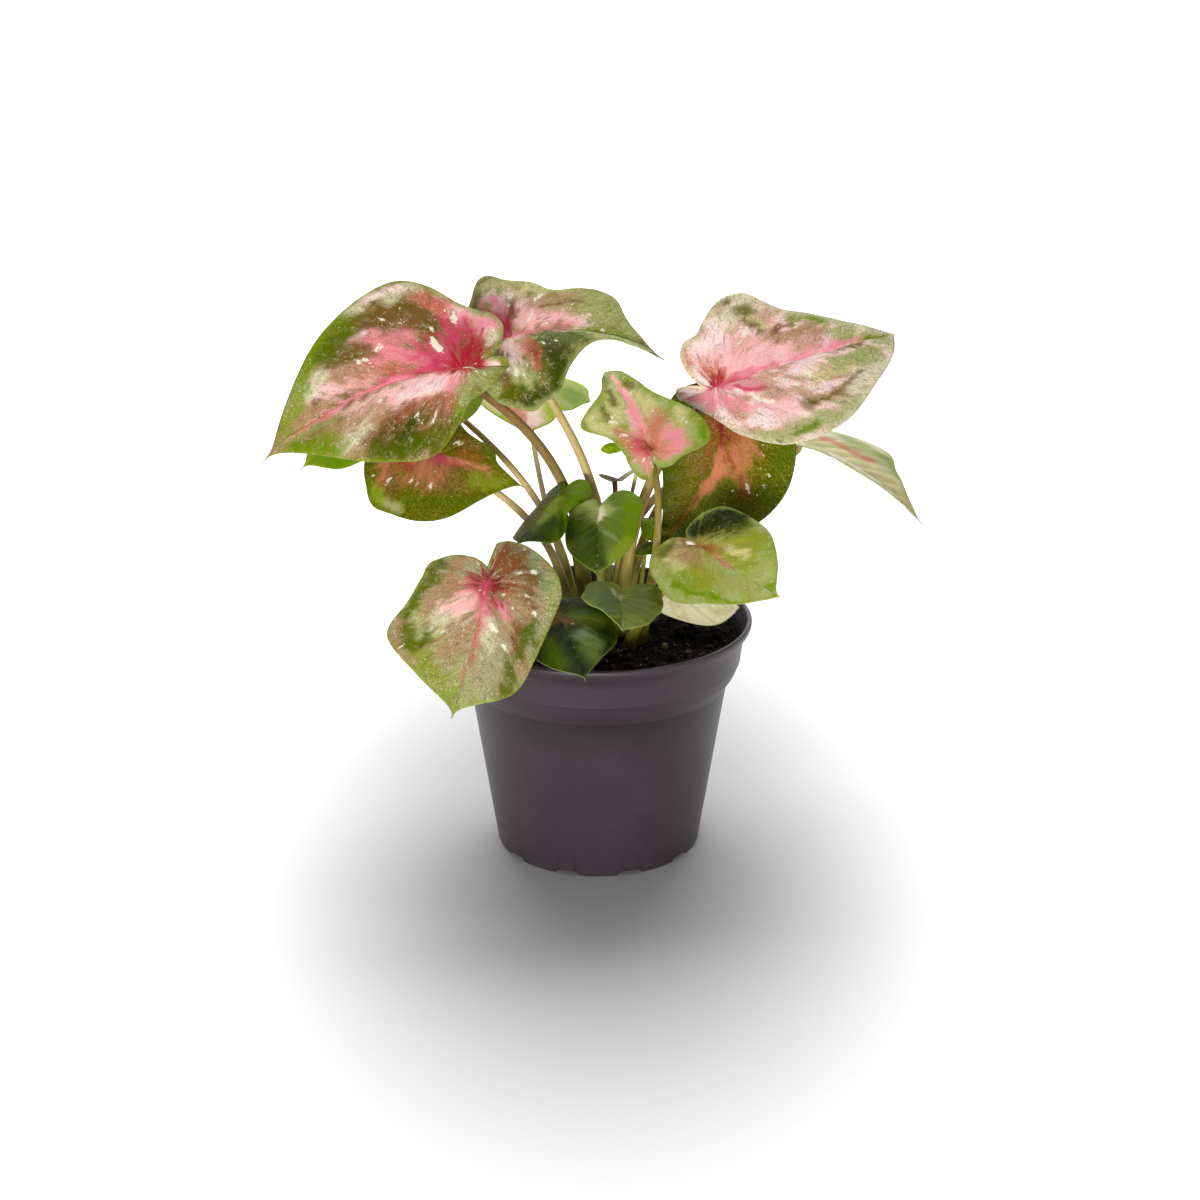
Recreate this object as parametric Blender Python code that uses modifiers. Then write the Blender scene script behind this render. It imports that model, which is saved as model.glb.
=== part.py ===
"""Potted caladium: a fancy-leaved plant with its nursery pot, soil and tuber.

Metres, +Z up. The origin is on the pot's axis, on the surface it stands on, and -Y is the front.
Every leaf is a blade and a stalk. A blade is a flat heart-shaped outline, given by its half widths
along the midrib, that is bent by a few angles and set on the end of its stalk.
"""
from collections import namedtuple
from math import cos, pi, radians, sin, tau

import bmesh
import bpy
import numpy as np
from mathutils import Euler, Vector

MM = 0.001
GAP = 0.35 * MM            # clearance between pieces that touch

# Pot: radii and heights of its turned profile.
POT_HEIGHT = 94 * MM
RIM_RADIUS = 60 * MM
LIP_WIDTH = 1.8 * MM
BAND_TOP_RADIUS = 57.3 * MM
BAND_TOP_HEIGHT = 88 * MM
BAND_FOOT_RADIUS = 55.2 * MM
BAND_FOOT_HEIGHT = 76 * MM
SHOULDER_RADIUS = 50.6 * MM
SHOULDER_HEIGHT = 68 * MM
FOOT_RADIUS = 40 * MM
WALL = 1.2 * MM
FLOOR_UNDERSIDE = 3 * MM
FLOOR_THICKNESS = 1.5 * MM
BOSS_RADIUS = 12 * MM      # the flat disc under the floor that stands on the table
NOTCH_COUNT = 10
NOTCH_WIDTH = 8 * MM
NOTCH_HEIGHT = 2 * MM
NOTCH_DEPTH = 4 * MM
DRAIN_COUNT = 6
DRAIN_RADIUS = 4 * MM
DRAIN_CIRCLE = 26 * MM
DRILL_LENGTH = 20 * MM

# Soil and the tuber that sits in it.
SOIL_LEVEL = 86 * MM
TUBER_TOP = 84 * MM
TUBER_FLAT_RADIUS = 20 * MM
TUBER_RADIUS = 24 * MM
TUBER_WAIST = 74 * MM
TUBER_BOTTOM = 58 * MM

TURN_STEPS = 48
BLADE_THICKNESS = 0.8 * MM
STALK_POINTS = 8
STALK_STUB = 1.5 * MM      # straight length at each end of a stalk

# One leaf. Lengths are millimetres and angles degrees.
#   joint      where the blade meets its stalk (x, y, z)
#   heading    direction of the midrib: 0 = +X, 90 = +Y (away), -90 = towards the front
#   pitch      rise of the midrib at the joint; roll lifts the left half of the blade
#   length     from the joint to the tip
#   left, right  half widths at 3/4, 1/2 and 1/5 of the length and just behind the joint
#   sinus      from the joint back to the bottom of the cleft
#   lobes      how far the left and right lobes reach behind the cleft
#   skew       sideways lean of the lobes
#   fold       rise of both halves at the midrib; curl is how far the left and right edges turn down
#   droop      how far the tip turns down; sag is the same for the lobes; sweep bends the midrib left
#   foot       where the stalk leaves the tuber (x, y)
#   stalk      radius of the stalk at its foot and at the blade
#   bow        what the stalk heads for as it leaves the tuber, measured from its foot (x, y, z)
#   reach      last stretch of the stalk, square to the blade
#   colour     its plain colour here
#   blunt      how broad the left and right sides of the tip are: 0.05 is a drawn-out point, 0.5 is round
#   bumps      where the edge swells or shrinks: (angle seen from the joint, millimetres out, spread)
Leaf = namedtuple("Leaf", "name joint heading pitch roll length left right sinus lobes skew"
                          " fold curl droop sag sweep foot stalk bow reach colour blunt bumps",
                  defaults=((0.05, 0.05), ()))

CRIMSON, OLIVE, GREEN, PALE = (0.55, 0.06, 0.10), (0.16, 0.17, 0.03), (0.10, 0.20, 0.03), (0.60, 0.52, 0.36)
LEAVES = (
    Leaf("great_left", (-51, -5, 195), 186, -4, -47, 83, (17, 31, 36, 18), (16, 34, 43, 24), 11, (7, 6),
         -0.5, 8, (20, 20), 30, 20, 30, (-6, 6), (2.4, 1.7), (8, 9, 79), 20, CRIMSON, (0.05, 0.05),
         ((92, -4, 14), (-74, 1.5, 12))),
    Leaf("top_centre", (-34, 20, 200), -2, 16, 24, 63, (10, 26, 24, 38), (2, 8, 36, 34), 6, (10, 9), 0.1, 10,
         (8, 62), 52, 10, -8, (3, 8), (2.1, 1.5), (7, 0, 70), 14, CRIMSON, (0.05, 0.05), ((104, 2, 8),
          (70, 3.5, 14), (45, -2.5, 8), (28, 3, 9), (-57, 1.5, 8), (-72, -2, 6), (-112, 0.8, 10))),
    Leaf("top_right", (45, 0, 186), 9, 18, 48, 77, (12, 24, 36, 22), (21, 33, 34, 19), 5.5, (3.5, 10), 0.8,
         10, (18, 20), 28, 12, 6, (9, -2), (2.5, 1.6), (0, 0, 78), 8, CRIMSON, (0.2, 0.4), ((56, 2.5, 9),
          (33, -1.2, 8))),
    Leaf("small_middle", (19, -30, 171), 114, 38, -18, 44.5, (8, 21, 13, 10), (9, 13, 24, 26), 6, (6, 4),
         0.2, 6, (24, 24), 22, 10, 9, (16, -8), (1.7, 1.1), (13, 3, 60), 8, GREEN, (0.3, 0.5),
         ((-118, -3.5, 22),)),
    Leaf("hanging_right", (49, 24, 162), -131, -55, -38, 56, (15, 28, 34, 30), (7, 15, 25, 25), 5, (12, 12),
         0, 8, (20, 20), 24, 12, -14, (11, 5), (2.0, 1.4), (2, 9, 56), 18, OLIVE),
    Leaf("pale_far_right", (81, 48, 150), -30, -8, -14, 62, (10, 27, 36, 34), (8, 10, 10, 14), 5, (12, 6), 0,
         18, (22, 50), 32, 12, 1, (5, 17), (1.8, 1.2), (4, 6, 84), 12, PALE, (0.05, 0.05), ((57, 3, 14),
          (32, -1.5, 9))),
    Leaf("low_right", (38, -25, 131), -48, -12, 36, 43, (12, 20, 22, 20), (12, 18.5, 25, 21), 5, (6, 9), 0,
         10, (16, 23), 2, 11, 2, (12, -14), (1.7, 1.2), (3, -1, 22), 8, GREEN, (0.1, 0.3),
         ((-120, 1.5, 28),)),
    Leaf("rim_left", (-41, -50, 125), -102, -42, -7, 54.5, (20, 25, 28, 30), (19, 34, 29, 24), 7.2,
         (13.8, 3.5), -0.3, 8, (24, 23), 8, 14, -8, (-14, -9), (2.0, 1.4), (-5, -8, 22), 10, CRIMSON,
         (0.1, 0.1)),
    Leaf("green_heart", (0, -18, 142), -89, -31, 6, 31, (8, 14, 16, 17), (8, 13, 14, 12), 2, (9, 5), 0.3, 7,
         (17, 32), 3, 7, -4, (1, -9), (1.7, 1.1), (0, -1, 27), 6, GREEN),
    Leaf("green_twin", (8, -31, 113), -86, -7, -16, 32, (10, 14, 17, 16), (5, 14, 15, 14), 4, (7, 7), 0.4,
         17, (4, 28), -6, 4, -6, (4, -18), (1.4, 1.0), (0, 0, 12), 5, GREEN, (0.05, 0.05), ((-62, 2, 10),
          (-28, -2, 10))),
    Leaf("dark_front", (-14, -40, 109), -74, -15, 6, 38, (9, 18, 19, 17), (11, 17, 18, 17), 3, (8, 8), 0, 6,
         (18, 23), 10, 12, -2, (-8, -15), (1.6, 1.1), (-1, -5, 10), 6, GREEN),
    Leaf("rolled_green", (-16, -2, 143), -122, -25, 18, 30, (12, 14, 10, 14), (9, 12, 13, 13), 2, (10, 7),
         0.1, 2, (67, 30), -3, 2, -2, (-5, -3), (1.7, 1.1), (-1, 1, 27), 6, GREEN),
    Leaf("under_left", (-64, 10, 158), -40, -6, 42, 44, (5, 11, 14, 20), (10, 24, 30, 30), 4, (14, 22), 0, 6,
         (22, 25), 14, 0, 5, (-13, 4), (1.8, 1.2), (6, 4, 49), 9, OLIVE, (0.05, 0.05), ((27, 2, 5),
          (12, -1.5, 5), (-113, 2, 12))),
    Leaf("behind_left", (-66, 30, 179), 199, -19, -23, 62, (18, 23, 30, 28), (17, 25, 29, 28), 5, (14, 14),
         0, 8, (20, 22), 26, 12, 1, (-10, 12), (1.6, 1.1), (2, 7, 56), 9, GREEN),
    Leaf("back_centre", (-28, 56, 170), -90, -12, -3, 33, (11, 18, 24, 25), (11, 18, 24, 25), 4, (10, 10), 0,
         6, (20, 20), 8, 10, 0, (-4, 15), (1.3, 0.9), (-18, 15, 29), 8, GREEN, (0.3, 0.3), ((38, -3.5, 9),
          (78, 1.5, 6))),
    Leaf("lime_spoon", (16.5, 5, 161.4), 179, 0, -30, 16, (3.4, 2.4, 1.1, 1.2), (3.4, 2.4, 1.1, 1.2), 1,
         (2, 2), 0, 7, (20, 22), 16, 10, 0, (4, 1), (1.0, 0.7), (3, 0, 36), 3, GREEN, (0.5, 0.5)),
    Leaf("edge_on_back", (6.5, 38, 136.8), -82, 19, 2, 22, (7, 12, 13, 11), (5, 8, 8, 7), 2, (4, 4), 0, 30,
         (10, 10), 2, 4, 0, (0, 17), (1.2, 0.9), (0, 6, 25), 5, OLIVE),
    Leaf("round_green", (20, 6, 130), -84, -31, 0, 9, (3, 4, 4, 4), (3, 4, 4, 4), 1, (2, 2), 0, 5, (22, 22),
         20, 12, 0, (16, 8), (0.9, 0.7), (0, 0, 21), 3, GREEN),
    Leaf("dark_bud", (21, 2, 122), -160, -17, -20, 8, (2, 3, 4, 3), (2, 3, 3, 3), 1, (2, 2), 0, 5, (22, 22),
         18, 12, 0, (18, 2), (0.9, 0.7), (0, 0, 17), 3, GREEN),
    Leaf("wilted_cream", (28, 10, 97.6), -12, -3, 8, 28, (8, 12, 14, 13), (15, 16.5, 15, 12), 2, (4, 4), 0.3,
         8, (22, 30), 4, 10, 4, (15, 11), (1.1, 0.8), (6, 2, 5), 3, PALE, (0.3, 0.5)),
)
LARGE_LEAF = 40            # leaves longer than this get a finer mesh
LARGE_GRID = (5, 26)       # rings and sectors
SMALL_GRID = (4, 18)
TINY_LEAF = 17
TINY_GRID = (2, 12)


def collection(name):
    found = bpy.data.collections.new(name)
    bpy.context.scene.collection.children.link(found)
    return found


def material(name, colour, roughness):
    made = bpy.data.materials.new(name)
    made.use_nodes = True
    shader = made.node_tree.nodes["Principled BSDF"]
    shader.inputs["Base Color"].default_value = (*colour, 1)
    shader.inputs["Roughness"].default_value = roughness
    shader.inputs["Metallic"].default_value = 0
    made.diffuse_color = (*colour, 1)
    return made


def add_object(name, data, group, finish=None):
    made = bpy.data.objects.new(name, data)
    group.objects.link(made)
    if finish:
        data.materials.append(finish)
    return made


def turned(name, profile, group, finish=None):
    """A profile of (radius, height) points turned round Z; it runs down the outer side."""
    mesh = bpy.data.meshes.new(name)
    points = [(radius, 0, height) for radius, height in profile]
    edges = [(i, i + 1) for i in range(len(points) - 1)]
    mesh.from_pydata(points, edges, [])
    made = add_object(name, mesh, group, finish)
    screw = made.modifiers.new("turn", "SCREW")
    screw.axis = "Z"
    screw.angle = tau
    screw.steps = TURN_STEPS
    screw.render_steps = TURN_STEPS
    screw.use_merge_vertices = True
    screw.merge_threshold = 0.00001
    screw.use_smooth_shade = True
    return made


def body_radius(height):
    """Outer radius of the pot's tapered body at a height."""
    return FOOT_RADIUS + (SHOULDER_RADIUS - FOOT_RADIUS) * height / SHOULDER_HEIGHT


def pot_wall(height):
    """Inner radius of the pot at a height."""
    if height <= SHOULDER_HEIGHT:
        return body_radius(height) - WALL
    share = (height - BAND_FOOT_HEIGHT) / (BAND_TOP_HEIGHT - BAND_FOOT_HEIGHT)
    return BAND_FOOT_RADIUS + (BAND_TOP_RADIUS - BAND_FOOT_RADIUS) * share - WALL


def pot_profile():
    floor_top = FLOOR_UNDERSIDE + FLOOR_THICKNESS
    inside = [(0, floor_top), (pot_wall(floor_top), floor_top), (pot_wall(SHOULDER_HEIGHT), SHOULDER_HEIGHT),
              (pot_wall(BAND_FOOT_HEIGHT), BAND_FOOT_HEIGHT), (pot_wall(BAND_TOP_HEIGHT), BAND_TOP_HEIGHT)]
    lip = [(RIM_RADIUS - LIP_WIDTH, POT_HEIGHT - 0.4 * MM), (RIM_RADIUS - 0.5 * LIP_WIDTH, POT_HEIGHT),
           (RIM_RADIUS, POT_HEIGHT - 0.6 * MM), (RIM_RADIUS - 0.2 * MM, POT_HEIGHT - 2.5 * MM)]
    step = SHOULDER_HEIGHT - BAND_FOOT_HEIGHT
    narrowing = BAND_FOOT_RADIUS - SHOULDER_RADIUS
    band = [(BAND_TOP_RADIUS, BAND_TOP_HEIGHT), (BAND_FOOT_RADIUS, BAND_FOOT_HEIGHT),
            (BAND_FOOT_RADIUS - 0.25 * narrowing, BAND_FOOT_HEIGHT + 0.35 * step),
            (SHOULDER_RADIUS + 0.3 * narrowing, SHOULDER_HEIGHT - 0.25 * step),
            (SHOULDER_RADIUS, SHOULDER_HEIGHT)]
    foot = [(body_radius(1.2 * MM), 1.2 * MM), (FOOT_RADIUS - 0.5 * MM, 0), (FOOT_RADIUS - 2 * MM, 0),
            (FOOT_RADIUS - 2 * MM, FLOOR_UNDERSIDE), (BOSS_RADIUS, FLOOR_UNDERSIDE), (BOSS_RADIUS, 0), (0, 0)]
    return inside + lip + band + foot


def cutter(name, group, location, size=None, radius=None, turn=0.0):
    """A box or a cylinder that is cut out of the pot."""
    mesh = bpy.data.meshes.new(name)
    shape = bmesh.new()
    if size:
        bmesh.ops.create_cube(shape, size=1)
        bmesh.ops.scale(shape, vec=size, verts=shape.verts)
    else:
        bmesh.ops.create_cone(shape, cap_ends=True, segments=12, radius1=radius, radius2=radius,
                              depth=DRILL_LENGTH)
    shape.to_mesh(mesh)
    shape.free()
    made = add_object(name, mesh, group)
    made.location = location
    made.rotation_euler.z = turn
    made.hide_render = True
    made.display_type = "WIRE"
    return made


def build_pot(parts, cutters):
    pot = turned("pot", pot_profile(), parts, material("moulded_polypropylene", (0.076, 0.059, 0.068), 0.5))
    tools = []
    for i in range(NOTCH_COUNT):
        angle = tau * (i + 0.5) / NOTCH_COUNT - pi / 2
        place = (FOOT_RADIUS * cos(angle), FOOT_RADIUS * sin(angle), 0)
        size = (2 * NOTCH_DEPTH, NOTCH_WIDTH, 2 * NOTCH_HEIGHT)
        tools.append(cutter(f"notch_{i}", cutters, place, size=size, turn=angle))
    for i in range(DRAIN_COUNT):
        angle = tau * i / DRAIN_COUNT
        place = (DRAIN_CIRCLE * cos(angle), DRAIN_CIRCLE * sin(angle), FLOOR_UNDERSIDE)
        tools.append(cutter(f"drain_{i}", cutters, place, radius=DRAIN_RADIUS))
    for tool in tools:
        cut = pot.modifiers.new(tool.name, "BOOLEAN")
        cut.operation = "DIFFERENCE"
        cut.object = tool


def build_soil(parts):
    """The soil fills the pot and has an open well in which the tuber sits."""
    floor_top = FLOOR_UNDERSIDE + FLOOR_THICKNESS + GAP
    well = TUBER_RADIUS + GAP
    waist = TUBER_WAIST - GAP
    profile = [(0, TUBER_BOTTOM - GAP), (0.6 * TUBER_RADIUS, TUBER_BOTTOM - GAP),
               (0.9 * TUBER_RADIUS, TUBER_BOTTOM + 0.35 * (TUBER_WAIST - TUBER_BOTTOM) - GAP),
               (well, waist), (well, SOIL_LEVEL)]
    for height in (SOIL_LEVEL, BAND_FOOT_HEIGHT, SHOULDER_HEIGHT, floor_top):
        profile.append((pot_wall(height) - GAP, height))
    profile.append((0, floor_top))
    turned("soil", profile, parts, material("peat_soil", (0.012, 0.009, 0.007), 0.95))


def build_tuber(parts):
    profile = [(0, TUBER_TOP), (TUBER_FLAT_RADIUS, TUBER_TOP), (0.95 * TUBER_RADIUS, TUBER_TOP - 2.5 * MM),
               (TUBER_RADIUS, TUBER_TOP - 6 * MM), (TUBER_RADIUS, TUBER_WAIST),
               (0.9 * TUBER_RADIUS - GAP, TUBER_BOTTOM + 0.35 * (TUBER_WAIST - TUBER_BOTTOM)),
               (0.6 * TUBER_RADIUS - GAP, TUBER_BOTTOM), (0, TUBER_BOTTOM)]
    turned("tuber", profile, parts, material("tuber_skin", (0.10, 0.05, 0.025), 0.85))


def smooth_curve(points, count):
    """Catmull-Rom curve through the points, read at count even steps."""
    ends = np.vstack([2 * points[0] - points[1], points, 2 * points[-1] - points[-2]])
    spans = len(points) - 1
    at = np.linspace(0, spans, count)
    first = np.minimum(at.astype(int), spans - 1)
    t = (at - first)[:, None]
    a, b, c, d = (ends[first + k] for k in range(4))
    return 0.5 * (2 * b + (c - a) * t + (2 * a - 5 * b + 4 * c - d) * t**2 + (3 * b - a - 3 * c + d) * t**3)


def half_outline(leaf, widths, lobe, blunt, count):
    """One half of the blade's edge, from the tip round the lobe to the bottom of the cleft."""
    length = leaf.length
    behind = leaf.sinus + lobe
    at_three_quarters, at_half, at_fifth, behind_joint = widths
    points = [(length, 0), (0.92 * length, 0.03 * length + blunt * at_three_quarters),
              (0.75 * length, at_three_quarters), (0.5 * length, at_half), (0.2 * length, at_fifth),
              (-0.33 * behind, behind_joint), (-0.8 * behind, 0.74 * behind_joint),
              (-behind, 0.45 * behind_joint), (-leaf.sinus - 0.84 * lobe, 0.2 * behind_joint),
              (-leaf.sinus - 0.3 * lobe, 0.05 * behind_joint), (-leaf.sinus, 0)]
    return smooth_curve(np.array(points, float), count)


def flat_outline(leaf, sectors):
    """The blade's closed edge in flat millimetres: x to the tip, y to the left."""
    half = sectors // 2 + 1
    left = half_outline(leaf, leaf.left, leaf.lobes[0], leaf.blunt[0], half)
    right = half_outline(leaf, leaf.right, leaf.lobes[1], leaf.blunt[1], half) * (1, -1)
    edge = np.vstack([left, right[-2::-1]])
    edge[:, 1] += leaf.skew * np.maximum(-edge[:, 0], 0)
    facing = np.degrees(np.arctan2(edge[:, 1], edge[:, 0]))
    for angle, out, spread in leaf.bumps:
        apart = (facing - angle + 180) % 360 - 180
        edge += (out * np.exp(-(apart / spread)**2))[:, None] * edge / np.linalg.norm(edge, axis=1)[:, None]
    return edge


def arc(distance, start, bend):
    """Run and rise of a curve that starts at an angle and turns evenly by bend for each unit."""
    bend = np.where(np.abs(bend) < 1e-6, 1e-6, bend)
    end = start + bend * distance
    return (np.sin(end) - np.sin(start)) / bend, (np.cos(start) - np.cos(end)) / bend


def bent(leaf, flat):
    """Flat points of the blade bent across its midrib, along it and sideways."""
    x, y = flat[..., 0], flat[..., 1]
    length = leaf.length
    soft = 0.03 * length
    across = np.sqrt(y * y + soft * soft) - soft
    curl = np.where(y >= 0, radians(leaf.curl[0]) / max(leaf.left), radians(leaf.curl[1]) / max(leaf.right))
    aside, rise = arc(across, radians(leaf.fold), -curl)
    aside *= np.sign(y)
    ahead = x >= 0
    along = np.abs(x)
    turn = np.where(ahead, radians(leaf.droop) / length, radians(leaf.sag) / (0.3 * length))
    run, drop = arc(along, 0.0, -turn)
    tilt = -turn * along * np.sign(x)
    sideways = np.where(ahead, radians(leaf.sweep) / length, 0.0)
    _, shift = arc(along, 0.0, sideways)
    swing = sideways * along
    return np.stack([run * np.sign(x) - rise * np.sin(tilt) - aside * np.sin(swing),
                     aside * np.cos(swing) + shift, drop + rise * np.cos(tilt)], -1)


def leaf_turn(leaf):
    return Euler((radians(leaf.roll), -radians(leaf.pitch), radians(leaf.heading)))


def build_blade(leaf, parts):
    rings, sectors = LARGE_GRID if leaf.length > LARGE_LEAF else SMALL_GRID
    if leaf.length < TINY_LEAF:
        rings, sectors = TINY_GRID
    shape = bmesh.new()
    bmesh.ops.create_grid(shape, x_segments=rings, y_segments=sectors, size=0.5)
    grid = np.array([v.co[:2] for v in shape.verts]) + 0.5
    ring = grid[:, :1]
    edge = flat_outline(leaf, sectors)
    sector = np.rint(grid[:, 1] * sectors).astype(int)
    for vertex, place in zip(shape.verts, bent(leaf, ring * edge[sector]) * MM):
        vertex.co = place
    bmesh.ops.remove_doubles(shape, verts=shape.verts, dist=0.000001)
    mesh = bpy.data.meshes.new(f"blade_{leaf.name}")
    shape.to_mesh(mesh)
    shape.free()
    mesh.shade_smooth()
    blade = add_object(mesh.name, mesh, parts, material(f"leaf_{leaf.name}", leaf.colour, 0.4))
    blade.location = Vector(leaf.joint) * MM
    blade.rotation_euler = leaf_turn(leaf)
    solid = blade.modifiers.new("thickness", "SOLIDIFY")
    solid.thickness = BLADE_THICKNESS
    solid.offset = -1


def stalk_route(leaf):
    """Route of a stalk: straight up off the tuber, a Bezier arch, then square to its blade."""
    foot = Vector((*leaf.foot, 0)) * MM
    foot.z = TUBER_TOP + GAP
    upper_side = leaf_turn(leaf).to_matrix().col[2]
    end = Vector(leaf.joint) * MM - upper_side * (BLADE_THICKNESS + GAP)
    start = foot + Vector((0, 0, STALK_STUB))
    finish = end - upper_side * STALK_STUB
    first = start + Vector(leaf.bow) * MM
    second = finish - upper_side * leaf.reach * MM
    route = [foot]
    for i in range(STALK_POINTS):
        t = i / (STALK_POINTS - 1)
        u = 1 - t
        route.append(start * u**3 + first * 3 * t * u**2 + second * 3 * t**2 * u + finish * t**3)
    return route + [end]


def build_stalk(leaf, parts, finish):
    curve = bpy.data.curves.new(f"stalk_{leaf.name}", "CURVE")
    curve.dimensions = "3D"
    curve.bevel_depth = MM
    curve.bevel_resolution = 2
    curve.use_fill_caps = True
    route = stalk_route(leaf)
    spline = curve.splines.new("POLY")
    spline.points.add(len(route) - 1)
    thick, thin = leaf.stalk
    for i, (point, place) in enumerate(zip(spline.points, route)):
        point.co = (*place, 1)
        point.radius = thick + (thin - thick) * i / (len(route) - 1)
    add_object(curve.name, curve, parts, finish)


def main():
    for old in list(bpy.data.objects):
        bpy.data.objects.remove(old)
    parts = collection("potted_caladium")
    cutters = collection("cutters")
    build_pot(parts, cutters)
    build_soil(parts)
    build_tuber(parts)
    stalk_finish = material("leaf_stalk", (0.30, 0.24, 0.10), 0.45)
    for leaf in LEAVES:
        build_blade(leaf, parts)
        build_stalk(leaf, parts, stalk_finish)


main()
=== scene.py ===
"""Looks of a potted caladium: leaves, stalks, tuber, soil and nursery pot, built over its frame.

The leaf tables are in millimetres and degrees. Meshes are in metres, +Z up, with -Y the front.
Run as a script it builds the whole plant on a white floor; its operators build one group each.
"""
from collections import namedtuple
from functools import partial
from math import radians, tau

import bpy
import numpy as np
from bpy.props import FloatProperty, FloatVectorProperty, IntProperty, PointerProperty
from mathutils import Euler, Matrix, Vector


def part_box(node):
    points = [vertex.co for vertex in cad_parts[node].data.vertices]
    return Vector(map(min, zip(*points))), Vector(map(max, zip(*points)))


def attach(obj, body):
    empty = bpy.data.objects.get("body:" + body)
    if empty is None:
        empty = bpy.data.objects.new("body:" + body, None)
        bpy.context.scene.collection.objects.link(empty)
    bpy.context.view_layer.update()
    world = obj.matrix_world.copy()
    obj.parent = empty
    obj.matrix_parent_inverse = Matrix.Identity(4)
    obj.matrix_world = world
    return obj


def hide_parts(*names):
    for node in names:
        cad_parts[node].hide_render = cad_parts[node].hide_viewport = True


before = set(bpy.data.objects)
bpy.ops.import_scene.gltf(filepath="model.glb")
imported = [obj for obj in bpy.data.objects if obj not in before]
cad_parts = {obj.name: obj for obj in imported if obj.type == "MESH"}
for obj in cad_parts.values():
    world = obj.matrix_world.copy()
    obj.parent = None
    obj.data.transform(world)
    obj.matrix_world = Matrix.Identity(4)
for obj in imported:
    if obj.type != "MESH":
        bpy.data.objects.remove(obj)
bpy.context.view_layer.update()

bl_info = {
    "name": "Potted Caladium",
    "version": (1, 0, 0),
    "blender": (4, 5, 0),
    "location": "View3D > Sidebar > Caladium",
    "description": "Builds the leaves, stalks, tuber, soil and pot of a caladium around its frame",
    "category": "Add Mesh",
}

MM = 0.001
BODY = "root"
POT_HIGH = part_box("pot")[1]
SOIL_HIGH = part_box("soil")[1]
TUBER_LOW, TUBER_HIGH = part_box("tuber")


def linear(code):
    """sRGB hex to linear: value / 12.92 below 0.04045, and ((value + 0.055) / 1.055) ** 2.4 above it."""
    value = np.array([int(code[i:i + 2], 16) for i in (0, 2, 4)]) / 255
    return np.where(value <= 0.04045, value / 12.92, ((value + 0.055) / 1.055) ** 2.4)


def rgba(code):
    """The linear colour with full opacity."""
    return (*linear(code), 1.0)


# Leaf pigments, as they look on the blade; 7E9268 is painted sheen, and mist and dusk serve also as painted
# sheen.
PAINT = {name: linear(code) for name, code in {
    "crimson": "BA2638", "rose": "D04A68", "pink": "E68C98", "blush": "F2B2B2", "petal": "F8CECC",
    "salmon": "CE7A66", "brick": "A44634", "maroon": "86202C", "rust": "96502C", "haze": "7E9268",
    "mist": "D2CDB0", "sage": "A2AA6C", "fern": "88983A", "leaf": "6C8E08", "ivy": "6E7C34",
    "moss": "5A6A06", "forest": "3C4804", "night": "1C2A03", "olive": "6C6010", "bronze": "86703A",
    "umber": "865E3A", "taupe": "B28C6C", "lime": "98B030", "straw": "CBC08C", "wheat": "E6DCB8",
    "honey": "A08848", "dusk": "A6A07C", "tan": "AE8E62", "gold": "C6AE72", "celery": "98983A"}.items()}

# Pigments that lie clear on the blade, with the share of the mottling that they let through.
CLEAR = {"crimson": 0.1, "rose": 0.2, "pink": 0.3, "blush": 0.45, "petal": 0.55, "maroon": 0.1,
         "leaf": 0.5, "moss": 0.6, "lime": 0.4, "night": 0.2}

# One leaf, as the frame has it. Lengths are millimetres and angles degrees.
#   joint      where the blade meets its stalk (x, y, z)
#   heading    direction of the midrib: 0 = +X, 90 = +Y (away), -90 = towards the front
#   pitch      rise of the midrib at the joint; roll lifts the left half of the blade
#   length     from the joint to the tip
#   left, right  half widths at 3/4, 1/2 and 1/5 of the length and just behind the joint
#   sinus      from the joint back to the bottom of the cleft
#   lobes      how far the left and right lobes reach behind the cleft
#   skew       sideways lean of the lobes
#   fold       rise of both halves at the midrib; curl is how far the left and right edges turn down
#   droop      how far the tip turns down; sag is the same for the lobes; sweep bends the midrib left
#   foot       where the stalk leaves the tuber (x, y)
#   stalk      radius of the stalk at its foot and at the blade
#   bow        what the stalk heads for as it leaves the tuber, measured from its foot (x, y, z)
#   reach      last stretch of the stalk, square to the blade
#   blunt      how broad the left and right sides of the tip are: 0.05 is a drawn-out point, 0.5 is round
#   bumps      where the edge swells or shrinks: (angle seen from the joint, millimetres out, spread)
Leaf = namedtuple("Leaf", "name joint heading pitch roll length left right sinus lobes skew"
                          " fold curl droop sag sweep foot stalk bow reach blunt bumps",
                  defaults=((0.05, 0.05), ()))
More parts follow.
